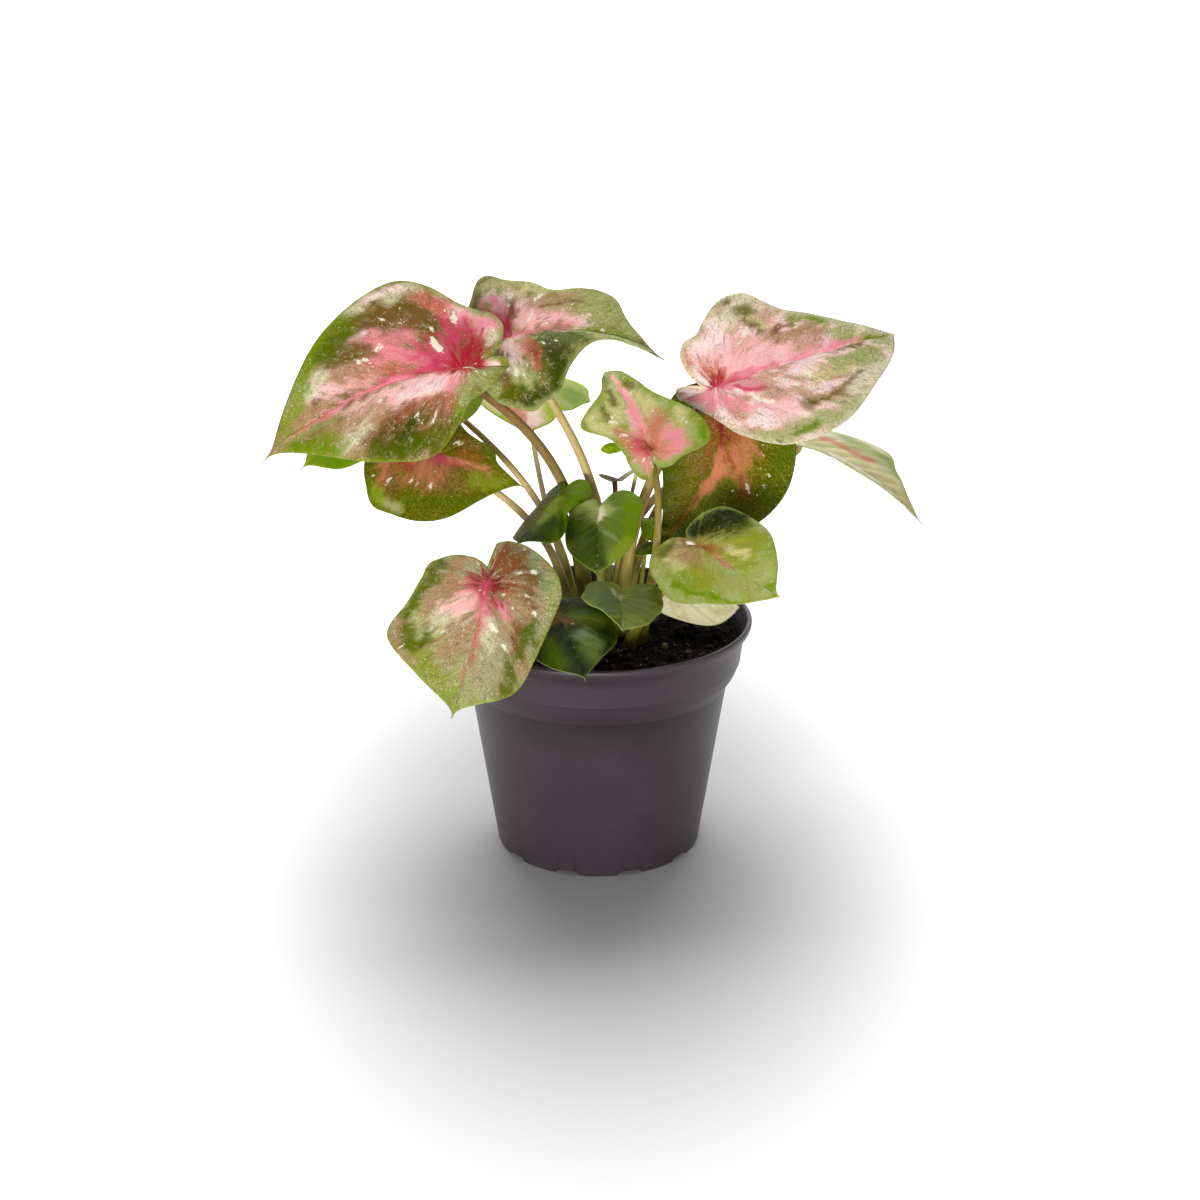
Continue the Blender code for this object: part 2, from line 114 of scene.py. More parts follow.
LEAVES = {leaf.name: leaf for leaf in (
    Leaf("great_left", (-51, -5, 195), 186, -4, -47, 83, (17, 31, 36, 18), (16, 34, 43, 24), 11, (7, 6),
         -0.5, 8, (20, 20), 30, 20, 30, (-6, 6), (2.4, 1.7), (8, 9, 79), 20, (0.05, 0.05),
         ((92, -4, 14), (-74, 1.5, 12))),
    Leaf("top_centre", (-34, 20, 200), -2, 16, 24, 63, (10, 26, 24, 38), (2, 8, 36, 34), 6, (10, 9), 0.1,
         10, (8, 62), 52, 10, -8, (3, 8), (2.1, 1.5), (7, 0, 70), 14, (0.05, 0.05),
         ((104, 2, 8), (70, 3.5, 14), (45, -2.5, 8), (28, 3, 9), (-57, 1.5, 8), (-72, -2, 6),
          (-112, 0.8, 10))),
    Leaf("top_right", (45, 0, 186), 9, 18, 48, 77, (12, 24, 36, 22), (21, 33, 34, 19), 5.5, (3.5, 10),
         0.8, 10, (18, 20), 28, 12, 6, (9, -2), (2.5, 1.6), (0, 0, 78), 8, (0.2, 0.4),
         ((56, 2.5, 9), (33, -1.2, 8))),
    Leaf("small_middle", (19, -30, 171), 114, 38, -18, 44.5, (8, 21, 13, 10), (9, 13, 24, 26), 6, (6, 4),
         0.2, 6, (24, 24), 22, 10, 9, (16, -8), (1.7, 1.1), (13, 3, 60), 8, (0.3, 0.5),
         ((-118, -3.5, 22),)),
    Leaf("hanging_right", (49, 24, 162), -131, -55, -38, 56, (15, 28, 34, 30), (7, 15, 25, 25), 5,
         (12, 12), 0, 8, (20, 20), 24, 12, -14, (11, 5), (2, 1.4), (2, 9, 56), 18),
    Leaf("pale_far_right", (81, 48, 150), -30, -8, -14, 62, (10, 27, 36, 34), (8, 10, 10, 14), 5, (12, 6),
         0, 18, (22, 50), 32, 12, 1, (5, 17), (1.8, 1.2), (4, 6, 84), 12, (0.05, 0.05),
         ((57, 3, 14), (32, -1.5, 9))),
    Leaf("low_right", (38, -25, 131), -48, -12, 36, 43, (12, 20, 22, 20), (12, 18.5, 25, 21), 5, (6, 9),
         0, 10, (16, 23), 2, 11, 2, (12, -14), (1.7, 1.2), (3, -1, 22), 8, (0.1, 0.3),
         ((-120, 1.5, 28),)),
    Leaf("rim_left", (-41, -50, 125), -102, -42, -7, 54.5, (20, 25, 28, 30), (19, 34, 29, 24), 7.2,
         (13.8, 3.5), -0.3, 8, (24, 23), 8, 14, -8, (-14, -9), (2, 1.4), (-5, -8, 22), 10, (0.1, 0.1)),
    Leaf("green_heart", (0, -18, 142), -89, -31, 6, 31, (8, 14, 16, 17), (8, 13, 14, 12), 2, (9, 5), 0.3,
         7, (17, 32), 3, 7, -4, (1, -9), (1.7, 1.1), (0, -1, 27), 6),
    Leaf("green_twin", (8, -31, 113), -86, -7, -16, 32, (10, 14, 17, 16), (5, 14, 15, 14), 4, (7, 7), 0.4,
         17, (4, 28), -6, 4, -6, (4, -18), (1.4, 1), (0, 0, 12), 5, (0.05, 0.05),
         ((-62, 2, 10), (-28, -2, 10))),
    Leaf("dark_front", (-14, -40, 109), -74, -15, 6, 38, (9, 18, 19, 17), (11, 17, 18, 17), 3, (8, 8), 0,
         6, (18, 23), 10, 12, -2, (-8, -15), (1.6, 1.1), (-1, -5, 10), 6),
    Leaf("rolled_green", (-16, -2, 143), -122, -25, 18, 30, (12, 14, 10, 14), (9, 12, 13, 13), 2, (10, 7),
         0.1, 2, (67, 30), -3, 2, -2, (-5, -3), (1.7, 1.1), (-1, 1, 27), 6),
    Leaf("under_left", (-64, 10, 158), -40, -6, 42, 44, (5, 11, 14, 20), (10, 24, 30, 30), 4, (14, 22), 0,
         6, (22, 25), 14, 0, 5, (-13, 4), (1.8, 1.2), (6, 4, 49), 9, (0.05, 0.05),
         ((27, 2, 5), (12, -1.5, 5), (-113, 2, 12))),
    Leaf("behind_left", (-66, 30, 179), 199, -19, -23, 62, (18, 23, 30, 28), (17, 25, 29, 28), 5,
         (14, 14), 0, 8, (20, 22), 26, 12, 1, (-10, 12), (1.6, 1.1), (2, 7, 56), 9),
    Leaf("back_centre", (-28, 56, 170), -90, -12, -3, 33, (11, 18, 24, 25), (11, 18, 24, 25), 4, (10, 10),
         0, 6, (20, 20), 8, 10, 0, (-4, 15), (1.3, 0.9), (-18, 15, 29), 8, (0.3, 0.3),
         ((38, -3.5, 9), (78, 1.5, 6))),
    Leaf("lime_spoon", (16.5, 5, 161.4), 179, 0, -30, 16, (3.4, 2.4, 1.1, 1.2), (3.4, 2.4, 1.1, 1.2), 1,
         (2, 2), 0, 7, (20, 22), 16, 10, 0, (4, 1), (1, 0.7), (3, 0, 36), 3, (0.5, 0.5)),
    Leaf("edge_on_back", (6.5, 38, 136.8), -82, 19, 2, 22, (7, 12, 13, 11), (5, 8, 8, 7), 2, (4, 4), 0,
         30, (10, 10), 2, 4, 0, (0, 17), (1.2, 0.9), (0, 6, 25), 5),
    Leaf("round_green", (20, 6, 130), -84, -31, 0, 9, (3, 4, 4, 4), (3, 4, 4, 4), 1, (2, 2), 0, 5,
         (22, 22), 20, 12, 0, (16, 8), (0.9, 0.7), (0, 0, 21), 3),
    Leaf("dark_bud", (21, 2, 122), -160, -17, -20, 8, (2, 3, 4, 3), (2, 3, 3, 3), 1, (2, 2), 0, 5,
         (22, 22), 18, 12, 0, (18, 2), (0.9, 0.7), (0, 0, 17), 3),
    Leaf("wilted_cream", (28, 10, 97.6), -12, -3, 8, 28, (8, 12, 14, 13), (15, 16.5, 15, 12), 2, (4, 4),
         0.3, 8, (22, 30), 4, 10, 4, (15, 11), (1.1, 0.8), (6, 2, 5), 3, (0.3, 0.5)),
)}

# The colouring of one blade.
#   finish   which blade finish it has
#   base     the pigment under everything else
#   strokes  soft brush strokes (pigment, x, y, x, y, radius) from point to point, painted in order; a few are
#   painted sheen or shade
#   margin   pigment and width of the band along the edge
#   islands  pigment of the irregular patches between the veins, and how much of the blade they take
#   stalk    pigments of the stalk from its foot to the blade
#   blots    cream splashes (x, y, radius)
#   flecks   how many smaller splashes lie at random
Coat = namedtuple("Coat", "finish base strokes margin islands stalk blots flecks", defaults=((), 0))
COATS = {
    "great_left": Coat("crimson", "taupe", (
        ("sage", 50, 8, 66, 4, 8), ("bronze", 46, 9, 64, 9, 4.5), ("petal", 34, -8, 56, -13, 6),
        ("mist", 48, -16, 58, -12, 3.5), ("taupe", 53, -4, 64, -4, 4), ("salmon", 18, -9, 36, -10, 7),
        ("taupe", 30, -12, 44, -14, 4), ("umber", 24, -19, 41, -21, 5), ("olive", 28, -15, 44, -19, 2.4),
        ("blush", 26, -23.5, 42, -27, 2.6), ("petal", 30, -24.5, 38, -26, 1.4),
        ("pink", 17, -19, 27, -23, 3.4), ("olive", 12, -31, 38, -32, 5.6),
        ("bronze", 18, -36, 34, -36, 2.6), ("umber", 10, -24, 26, -28, 4),
        # the mist stroke from (12, -40) to (36, -38) is painted sheen along the upper edge of the blade
        ("olive", 9, -21, 12, -15, 2.6), ("mist", 12, -40, 36, -38, 3.2),
        ("petal", 18, -40, 28, -40, 1.8), ("mist", -6, -28, 4, -33, 2.2), ("leaf", 38, -33, 50, -27, 4.5),
        ("leaf", 48, -28, 60, -16, 3.6), ("moss", 38, -27, 46, -22, 3.4), ("fern", 60, -12, 70, -4, 3.6),
        ("salmon", 14, -8, 26, -14, 6), ("pink", 10, -8, 26, -15, 5), ("rose", 2, -4, 14, -12, 5),
        ("rose", 1, -12, 5, -30, 3), ("salmon", 5, -28, 12, -35, 2.6), ("petal", -13, -18, -5, -25, 5),
        ("pink", -12, -20, -5, -22, 3.5), ("mist", -10, -12, -13, -15, 2), ("petal", 4, 5, 44, 9, 5.5),
        ("blush", 2, 8, 30, 9, 4.5), ("petal", 10, 9, 26, 12, 4), ("pink", 4, 8, 9, 18, 3.6),
        ("taupe", 34, 12, 52, 12, 5.5), ("mist", 42, 18, 54, 20, 3.6), ("salmon", 7, 17, 16, 15, 3),
        ("umber", 12, 19, 26, 22, 5), ("umber", 33, 21, 44, 23, 3.4), ("brick", 21, 14, 28, 19, 2.2),
        ("olive", 16, 26, 30, 26, 4.4), ("forest", 25, 25, 38, 28, 5), ("moss", 12, 31, 44, 29, 4.4),
        ("leaf", 56, 17, 72, 7, 4), ("fern", 1, 13, 5, 30, 2.6), ("moss", 4, 26, 10, 33, 2),
        ("sage", -8, 3, -2, 12, 5), ("sage", -14, 0, -8, 8, 3.6), ("petal", -12, -3, -8, -2, 2.4),
        ("rose", -3, -18, 1, -12, 3.5), ("crimson", -4, -12, -1, -2, 5), ("crimson", -7, -6, -5, -1, 3),
        ("crimson", 0, -1, 10, -2, 3), ("rose", 8, -2, 30, -2.5, 3), ("rose", 26, -2, 38, -1, 1.2),
        ("pink", 20, -1, 52, 1, 2.6), ("pink", 50, 1, 60, 2, 2), ("salmon", 54, 1.5, 70, 1, 1.8)),
        ("fern", 2), ("umber", 0.3), ("celery", "bronze", "umber"), (
        (24, -29, 1.1), (18, -31, 1), (18, -25, 1.2), (9, -20, 1.2), (8, -12, 1.9), (9, -15, 1.4),
        (27, -18, 1.4), (29, -17, 1), (36, -15, 1.3), (33, -14, 1.3), (40, -18, 0.9), (1, -23, 1.7),
        (0, -26, 1.2), (21, 19, 1.3), (20, 22, 1.1), (13, 20, 1.1), (15, 23, 1.1), (33, 8, 1.2),
        (14, 10, 1), (17, 15, 0.8), (46, 13, 1.1), (-5, -3, 0.7), (-4, 2, 0.8), (-2, 5, 0.6),
        (44, -27, 0.8)), 34),
    "top_centre": Coat("crimson", "sage", (
        ("petal", 0, 22, 10, 12, 7), ("blush", 4, 10, 26, 10, 6), ("straw", 8, 27, 22, 24, 4),
        ("taupe", 12, 18, 26, 17, 5), ("sage", 28, 13, 44, 14, 6), ("sage", 34, 19, 46, 9, 3.4),
        ("fern", 30, 4.5, 46, 3, 3), ("petal", 18, 5, 29, 6, 2.6), ("straw", -9, 33, 6, 33, 4),
        ("petal", -6, 28, -3, 22, 3.2), ("salmon", -8, 20, -6, 10, 3.2), ("pink", -4, 24, 0, 14, 3),
        ("olive", -12, 32, -12, 16, 2), ("umber", 1, 13, 2, 21, 2.6), ("brick", 0, 12, 2, 18, 1.6),
        ("umber", 12, 16, 28, 17.5, 0.8), ("rose", -4, 14, -1, 4, 2.5), ("blush", 4, 6, 26, 6, 3),
        ("crimson", -2, 8, 0, 1, 3), ("rose", -6, 2, 4, -1, 3.6), ("pink", 2, 1, 22, 3, 2.4),
        ("fern", 31, -0.5, 58, 0, 2.2), ("straw", 34, -2.6, 52, -2, 1), ("moss", 14, -6, 22, -26, 9),
        ("forest", 16, -12, 20, -22, 6), ("moss", 20, -6, 29, -4, 3), ("petal", 0, -4, 1, -15, 4),
        ("salmon", 6, -6, 10, -18, 2.6), ("brick", 8, -9, 10, -17, 1.6), ("mist", -3, -18, 3, -22, 3.4),
        ("sage", 2, -24, 10, -26, 2.4), ("umber", -4, -22, -3, -30, 2.2), ("sage", -10, -22, -7, -32, 3),
        ("moss", -8, -33, 14, -33, 6), ("forest", 4, -33, 18, -30, 4)),
        ("sage", 1.6), ("bronze", 0.25), ("celery", "gold", "gold"), (
        (2, 24, 1.7), (1, 19, 1), (11, 20, 1.1), (13, 21, 1.1), (8, 9, 1.1), (9, 11, 1), (21, 13, 1),
        (24, 15, 1.1), (28, 10, 1), (31, 11, 1.1), (36, 4, 1.2), (15, 6, 0.8), (13, -9, 1.1), (18, -8, 1),
        (12, -25, 1.2), (0, -16, 1.3), (1, -21, 1.4), (4, -23, 1), (-2, -19, 1.1), (6, -19, 0.8)), 30),
    "top_right": Coat("crimson", "petal", (
        ("blush", 2, 10, 26, 11, 9), ("mist", 12, 26, 22, 30, 5), ("taupe", 26, 14, 48, 12, 3),
        ("umber", 29, 15.5, 38, 17, 1.2), ("fern", 38, 19, 54, 15, 3.4), ("leaf", 44, 18, 52, 16, 2.2),
        ("fern", 52, 13.5, 60, 12, 2.2), ("mist", 56, 8, 72, 5, 3.4), ("olive", 21, 28, 24, 18, 2.6),
        ("straw", 24, 23, 26, 18, 1.4), ("olive", 8, 33, 18, 36, 1.6), ("olive", -3, 26, 2, 23, 1.8),
        ("bronze", 0, 24, 4, 26, 1.6), ("salmon", -9, 21, -7, 14, 3), ("petal", 0, 18, 8, 22, 4),
        ("straw", 34, -8, 60, -9, 4), ("petal", 30, -5, 50, -6, 3), ("straw", 36, -13, 52, -11, 2.4),
        ("sage", 56, -12, 70, -4, 4), ("mist", 46, -24, 64, -12, 4.4), ("petal", 16, -22, 40, -26, 5),
        ("bronze", 27, -20, 42, -22, 2.2), ("olive", 30, -20.5, 40, -22, 0.9),
        ("bronze", 40, -22, 54, -15, 1), ("sage", 54, 6, 70, 3, 4), ("sage", 46, -8, 64, -8, 3),
        ("sage", 8, -29, 46, -29, 3.6), ("leaf", 21, -31, 28, -31, 1.6), ("pink", -4, -8, 8, -15, 3.2),
        ("blush", 12, -15, 22, -20, 3.4), ("pink", -12, -2, -4, -6, 3), ("fern", 60, 1, 72, 1, 2.6),
        ("leaf", 64, 1, 70, 1, 1.4), ("bronze", 50, -1, 60, -2, 1.6), ("blush", 2, 4, 30, 5, 4),
        ("pink", 2, -3, 14, -7, 3), ("rose", 8, -5, 18, -9.5, 0.9), ("salmon", -1, 11, 3, 4, 3),
        ("brick", 0, 7, 2, 3, 1.6), ("maroon", -1, 4, 1, 1, 1.4), ("crimson", 0, 1, 3, 7, 2),
        ("rose", 0, 0, 14, 1.5, 2.4), ("rose", 14, 1.5, 24, 2.5, 1.2), ("pink", 12, 2, 50, 3, 2),
        ("pink", 46, 3, 60, 3, 1.4)),
        ("mist", 2.4), ("taupe", 0.2), ("celery", "honey", "umber"), (
        (18, 19, 1.5), (19, 21, 1), (14, 16, 1.1), (38, 16, 1.4), (40, 18, 0.9), (7, -6, 1.1),
        (12, -12, 1.4), (11, -10, 1), (15, -15, 1.4), (17, -16, 1.1), (34, -9, 1.4), (28, -12, 1.2),
        (-2, 22, 1.2), (12, -18, 0.9), (24, -26, 0.9), (14, 19, 0.8)), 30),
    "small_middle": Coat("mottled", "sage", (
        ("straw", 18, 8, 34, 3, 4), ("olive", 24, 6, 33, 4, 1.6), ("olive", 20, 11, 26, 10, 1.4),
        ("straw", 12, 14, 22, 17, 4), ("fern", 14, 19, 22, 20, 2), ("moss", 38, 5, 43, 3, 2.4),
        ("fern", 30, 9, 38, 6, 2.4), ("olive", 24, -7, 33, -6, 1.6), ("straw", 16, -8, 26, -6, 3),
        ("fern", 8, -20, 18, -16, 2), ("fern", 12, -23, 0, -24, 3), ("leaf", 6, -25, -2, -23, 1.6),
        ("salmon", 6, -3, 12, -10, 3.6), ("straw", 6, -16, 14, -20, 3), ("pink", 0, -5, 5, -12, 3),
        ("pink", -4, -8, 0, -14, 3.4), ("blush", 6, 2, 18, 1, 3), ("blush", 8, -1, 30, -2, 2),
        ("pink", 4, 0, 18, -1, 3.4), ("blush", 28, -2, 38, -2, 1.8), ("pink", 18, -1.2, 34, -2, 1.2),
        ("salmon", 2, 5, 12, 9.5, 1.8), ("salmon", -1, 6, 6, 8, 2.6), ("pink", -10, 3, -2, 4, 3.6),
        ("olive", -14, 2, -10, 8, 1.6), ("salmon", -2, -4, 4, 4, 4), ("salmon", 2, -4, 9, -8, 1.8),
        ("rose", -1, 1, 3, 4, 2.4), ("brick", -1, -2, 1, 1, 2), ("maroon", -1, -1, 0, 0, 1.2)),
        ("fern", 1.2), ("fern", 0.15), ("olive", "honey", "olive"), (
        (24, 14, 1), (23, 15.5, 0.8), (22, 9.5, 0.8), (19, 9, 0.9), (17, 10, 1.2), (16, 8.5, 0.8),
        (9, 8, 1.2), (12, 8.5, 0.7), (-3, 8, 0.7), (-4, 5, 0.8), (15, -8, 0.9), (14, -6, 0.6),
        (9, -16, 0.9), (8, -18, 0.8), (6, -18, 0.8), (-1, -15, 0.8)), 26),
    "hanging_right": Coat("olive", "moss", (
        ("olive", 12, -8, 30, -5, 5), ("moss", 14, -16, 40, -9, 4), ("olive", 6, 22, 26, 18, 7),
        ("moss", 0, 28, 20, 28, 3.4), ("umber", 0, -6, 16, -3, 6), ("rust", 2, -4, 12, -2, 3),
        ("olive", 10, 8, 18, 13, 5), ("salmon", -3, 8, 4, 13, 4), ("brick", -4, -8, -1, -4, 3),
        ("brick", 0, 5, 6, 9, 4), ("salmon", 5, 9, 16, 17, 3), ("rust", 14, 16, 20, 19, 2),
        # the two moss strokes at (22..38, 10) and (20..24, 14..20) are painted shade, a patch of the blade in
        # shadow
        ("moss", 22, 10, 38, 11, 5), ("moss", 20, 14, 24, 20, 3), ("brick", 0, 1, 10, 5, 3),
        ("salmon", 8, 4, 16, 7, 2.8), ("salmon", 14, 6.5, 24, 5, 2), ("salmon", 20, 6, 30, 3.5, 2),
        ("rust", 28, 3.5, 44, 1, 1.3), ("maroon", -2, -2, 4, 3, 2.2), ("brick", 3, 3, 12, 12, 1)),
        ("moss", 1.6), ("olive", 0.3), ("celery", "bronze", "bronze"), (
        (16, 19, 1.2), (17, 20, 1.1), (13, 25, 1), (9, 25, 0.9), (20, 15, 0.9), (3, 19, 0.7),
        (44, 9, 0.9), (17, 24, 0.7), (24, 22, 0.6)), 30),
    "pale_far_right": Coat("pale", "mist", (
        ("sage", 12, 24, 36, 20, 6), ("fern", 26, 26, 40, 18, 2.6), ("straw", 6, 8, 30, 7, 4),
        # the mist stroke along the midrib's lower side is painted shade at the fold, the same colour as the
        # base
        ("salmon", 6, 13, 26, 13, 2.6), ("straw", 34, 8, 52, 4, 5), ("mist", 10, -3, 54, -3, 5)),
        ("sage", 2), ("sage", 0.2), ("celery", "tan", "gold")),
    "low_right": Coat("mottled", "sage", (
        # the sage stroke from (20, -2) to (36, 6) is painted sheen
        ("sage", 20, -2, 36, 6, 8), ("fern", 8, 4, 22, 6, 4), ("fern", 2, -16, 20, -16, 4),
        ("fern", 6, 16, 24, 16, 4), ("celery", 8, 8, 22, 9, 3.4), ("straw", 10, 6, 20, 8, 1.8),
        ("celery", -8, -10, 16, -10, 3.4), ("straw", -6, -12, 2, -12, 2.4), ("honey", 1, -5, 6, -8, 3),
        # the forest and night strokes on the upper lobe are partly its own dark pattern and partly painted
        # shadow, cast by the hanging leaf
        ("forest", -6, 6, 8, 18, 5), ("night", -8, 5, 0, 15, 5), ("night", 0, 16, 5, 19, 3),
        ("moss", -11, -6, -8, -11, 2.4), ("taupe", -8, -5, 0, -8, 3.8), ("salmon", 8, 1, 17, 0, 2.4),
        ("honey", 0, 3, 9, 4, 3), ("rust", -3, 0, 4, 2, 2.4), ("umber", -7, -3, -3, -3, 2),
        ("leaf", 4, -20, 34, -12, 1.4), ("leaf", 36, 2, 38, 3, 2)),
        ("fern", 1), ("celery", 0.2), ("olive", "celery", "umber"), ((-3.9, -1.7, 1.4),), 6),
    # rim_left: the dusk, mist and grey-green strokes at (15..38, 5..10), (4..16, 25) and (-14..-4, 20), and
    # the sage stroke at (-6..6, 25), are painted sheen where the blade catches the light
    "rim_left": Coat("crimson", "dusk", (
        ("sage", 34, -12, 46, 8, 9), ("fern", 32, -21, 46, -6, 5), ("taupe", 2, -14, 16, -20, 7),
        ("taupe", -6, -14, 4, -17, 3.4), ("sage", 14, -27, 24, -22, 4.4), ("moss", 22, -28, 30, -24, 3.4),
        ("moss", 22, -18, 28, -20, 2.4), ("lime", 22, -13.5, 24, -14.5, 1.2),
        ("moss", -8, -23, 2, -24, 4), ("moss", 6, -27, 16, -29, 3), ("mist", 12, -9, 18, -14, 4),
        ("taupe", 22, -5, 32, -9, 4.4), ("dusk", 18, 6, 38, 10, 7), ("mist", 15, 4, 24, 6, 3.4),
        ("olive", 2, 7, 6, 11, 3), ("dusk", 4, 24, 16, 26, 3), ("sage", -6, 25, 6, 26, 3),
        ("moss", 12, 20, 18, 22, 2.6), ("moss", 16, 20.5, 42, 17, 3), ("umber", 12, 16, 26, 16.5, 1.4),
        ("umber", -18, 8, -8, 16, 4.4), ("haze", -14, 18, -4, 22, 2.6), ("umber", -15, 4, -4, 9, 5),
        ("rust", -12, 4, -3, 9, 4.4), ("umber", -4, 16, 5, 19, 3.4), ("taupe", 5, 12, 10, 18, 3),
        ("rose", 1, -6, 6, -2, 4), ("blush", 7, -6, 13, -11, 3.6), ("pink", 6, 7, 12, 12, 2.4),
        ("rose", 5, 0, 10, 3, 3.6), ("brick", -2, -2, 3, 5, 4.6), ("maroon", -2, 0, 1, 5, 3.2),
        ("pink", 7, 0.5, 24, 1, 2.8), ("rose", 1, 0, 5, 0, 2.6), ("taupe", 20, 0.5, 34, 1.5, 2),
        ("salmon", 15, 0.5, 30, 1.5, 1.2), ("taupe", 32, 1, 42, 0, 1.4),
        ("taupe", 29, -30, 35, -27, 1.8)),
        ("fern", 1.4), ("taupe", 0.2), ("celery", "olive", "umber"), (
        (-6, 13, 1), (-7, 18, 1.3), (-8, 17, 0.9), (4, 8.5, 0.9), (4, -1, 0.9), (3, -3, 0.7),
        (17, 7, 1.6), (18, 8.5, 1.1), (24, 13, 1.3), (22, 9, 0.8), (3, 17, 1), (9, 21, 1.2), (34, 1, 0.8),
        (41, 12, 0.9), (9, 13, 0.8), (22, -13, 1.1), (31, -27, 1)), 24),
    # green_heart: the sage and mist strokes round the joint are a painted highlight, and its grey-green
    # islands are painted sheen
    "green_heart": Coat("plain", "ivy", (
        ("sage", -6, 2, 0, 3, 3), ("sage", -6, -8, 0, -3, 4), ("leaf", -10, 14, 14, 14, 3.2),
        ("fern", 16, 12, 24, 7, 3), ("forest", 5, -12, 22, -7, 9), ("night", 4, -13, 10, -13, 4),
        ("forest", 8, -3, 24, 1, 3.6), ("mist", -2, 1, 4, 1, 1.2)),
        ("leaf", 0.5), ("haze", 0.1), ("celery", "celery", "gold")),
    # green_twin: the grey-green stroke from (2, -5) to (16, -6) is painted sheen
    "green_twin": Coat("plain", "fern", (
        ("fern", 2, -10, 8, -12, 5), ("haze", 2, -5, 16, -6, 4), ("mist", -3, -4, 0, -3, 1.4),
        ("straw", -1, 0, 3, -1, 1.4), ("ivy", 2, 9, 14, 10, 6), ("fern", 18, 4, 28, 2, 4)),
        ("fern", 0.8), ("moss", 0.2), ("olive", "celery", "celery")),
    # dark_front: the grey-green stroke from (14, 5) to (20, 9) is a painted highlight
    "dark_front": Coat("plain", "forest", (
        ("ivy", 2, 6, 8, 12, 5), ("haze", 14, 5, 20, 9, 3.4), ("ivy", 20, 8, 28, 4, 4),
        ("night", 22, -4, 30, 0, 5), ("umber", -5, -2, 2, -6, 4), ("umber", 0, 0, 5, 2, 2.4),
        ("moss", 14, -10, 26, -8, 4)),
        ("moss", 0.8), ("night", 0.2), ("celery", "olive", "bronze"), ((7, 4, 0.6),), 0),
    "rolled_green": Coat("plain", "moss", (
        ("olive", 4, -5, 22, -6, 4), ("fern", 2, 2, 14, 3, 3), ("leaf", -8, 8, 4, 10, 5),
        ("forest", 14, 8, 24, 8, 4), ("fern", -8, 13, 0, 13, 1.6)),
        ("leaf", 0.8), ("forest", 0.15), ("celery", "olive", "umber")),
    # under_left: the dusk stroke at (-4..0, -28) is painted sheen
    "under_left": Coat("olive", "olive", (
        ("moss", 6, -22, 26, -17, 7), ("fern", -16, -27, -2, -29, 4), ("dusk", -4, -27, 0, -29, 2.5),
        ("umber", 6, -12, 20, -10, 5), ("salmon", -18, -8, 4, -9, 7), ("salmon", -16, -14, -12, -20, 3),
        ("salmon", -4, -12, -2, -17, 3), ("umber", -8, -18, -6, -22, 2.4),
        ("brick", -12, -10, -4, -12, 3), ("rose", 2, -3, 14, -1, 3), ("salmon", 12, 0, 27, 0, 2.4),
        ("fern", 26, -5, 38, -1, 4.5), ("umber", 8, 10, 18, 10, 3), ("moss", 20, 9, 24, 8, 2),
        ("rust", 12, 5, 20, 5, 2)),
        ("moss", 2), ("olive", 0.25), ("celery", "gold", "gold"), (
        (-10, -19, 1.2), (-10, -21, 0.9), (0, -16, 1.1), (3, -16, 1), (7, -9, 0.7), (9, -15, 1.2),
        (8, 8, 1.1), (10, 8, 0.9), (-18, -20, 0.9)), 12),
    "behind_left": Coat("plain", "leaf", (
        ("fern", 4, -10, 60, -6, 8), ("leaf", 8, 10, 50, 4, 6)),
        ("fern", 1.5), ("fern", 0.2), ("celery", "gold", "gold")),
    "back_centre": Coat("plain", "lime", (
        ("straw", -2, -22, 14, -18, 7), ("salmon", 12, -4, 30, -1, 6), ("petal", 14, 2, 26, 4, 4),
        ("straw", 14, -14, 18, -12, 3), ("leaf", 2, 18, 10, 24, 5)),
        ("lime", 1.2), ("sage", 0.2), ("celery", "straw", "straw")),
    "lime_spoon": Coat("plain", "lime", (
        ("leaf", 6, -1, 12, -2, 1.6), ("straw", 0, 0, 5, 0, 1.4)),
        ("leaf", 0.3), ("leaf", 0.1), ("celery", "celery", "straw")),
    "edge_on_back": Coat("plain", "olive", (
        ("rust", 0, -6, 14, -6, 4), ("fern", 0, 8, 14, 8, 4)),
        ("olive", 0.6), ("umber", 0.2), ("olive", "olive", "umber")),
    "round_green": Coat("plain", "leaf", (
        ("moss", 1, -2, 7, -2, 2),),
        ("moss", 0.5), ("moss", 0.1), ("celery", "celery", "fern")),
    "dark_bud": Coat("plain", "forest", (
        ("moss", 1, 1, 6, 1, 2),),
        ("moss", 0.4), ("forest", 0.1), ("celery", "celery", "fern")),
    "wilted_cream": Coat("pale", "wheat", (
        ("straw", 20, -8, 26, -4, 3),),
        ("wheat", 1), ("straw", 0.1), ("honey", "straw", "wheat")),
}
LEAF_GROUPS = {
    "crimson": ("great_left", "top_centre", "top_right", "rim_left"),
    "olive": ("hanging_right", "under_left", "edge_on_back"),
    "pale": ("pale_far_right", "wilted_cream"),
    "green": ("small_middle", "low_right", "green_heart", "green_twin", "dark_front", "rolled_green",
              "behind_left", "back_centre", "lime_spoon", "round_green", "dark_bud"),
}


# ---------------------------------------------------------------- settings

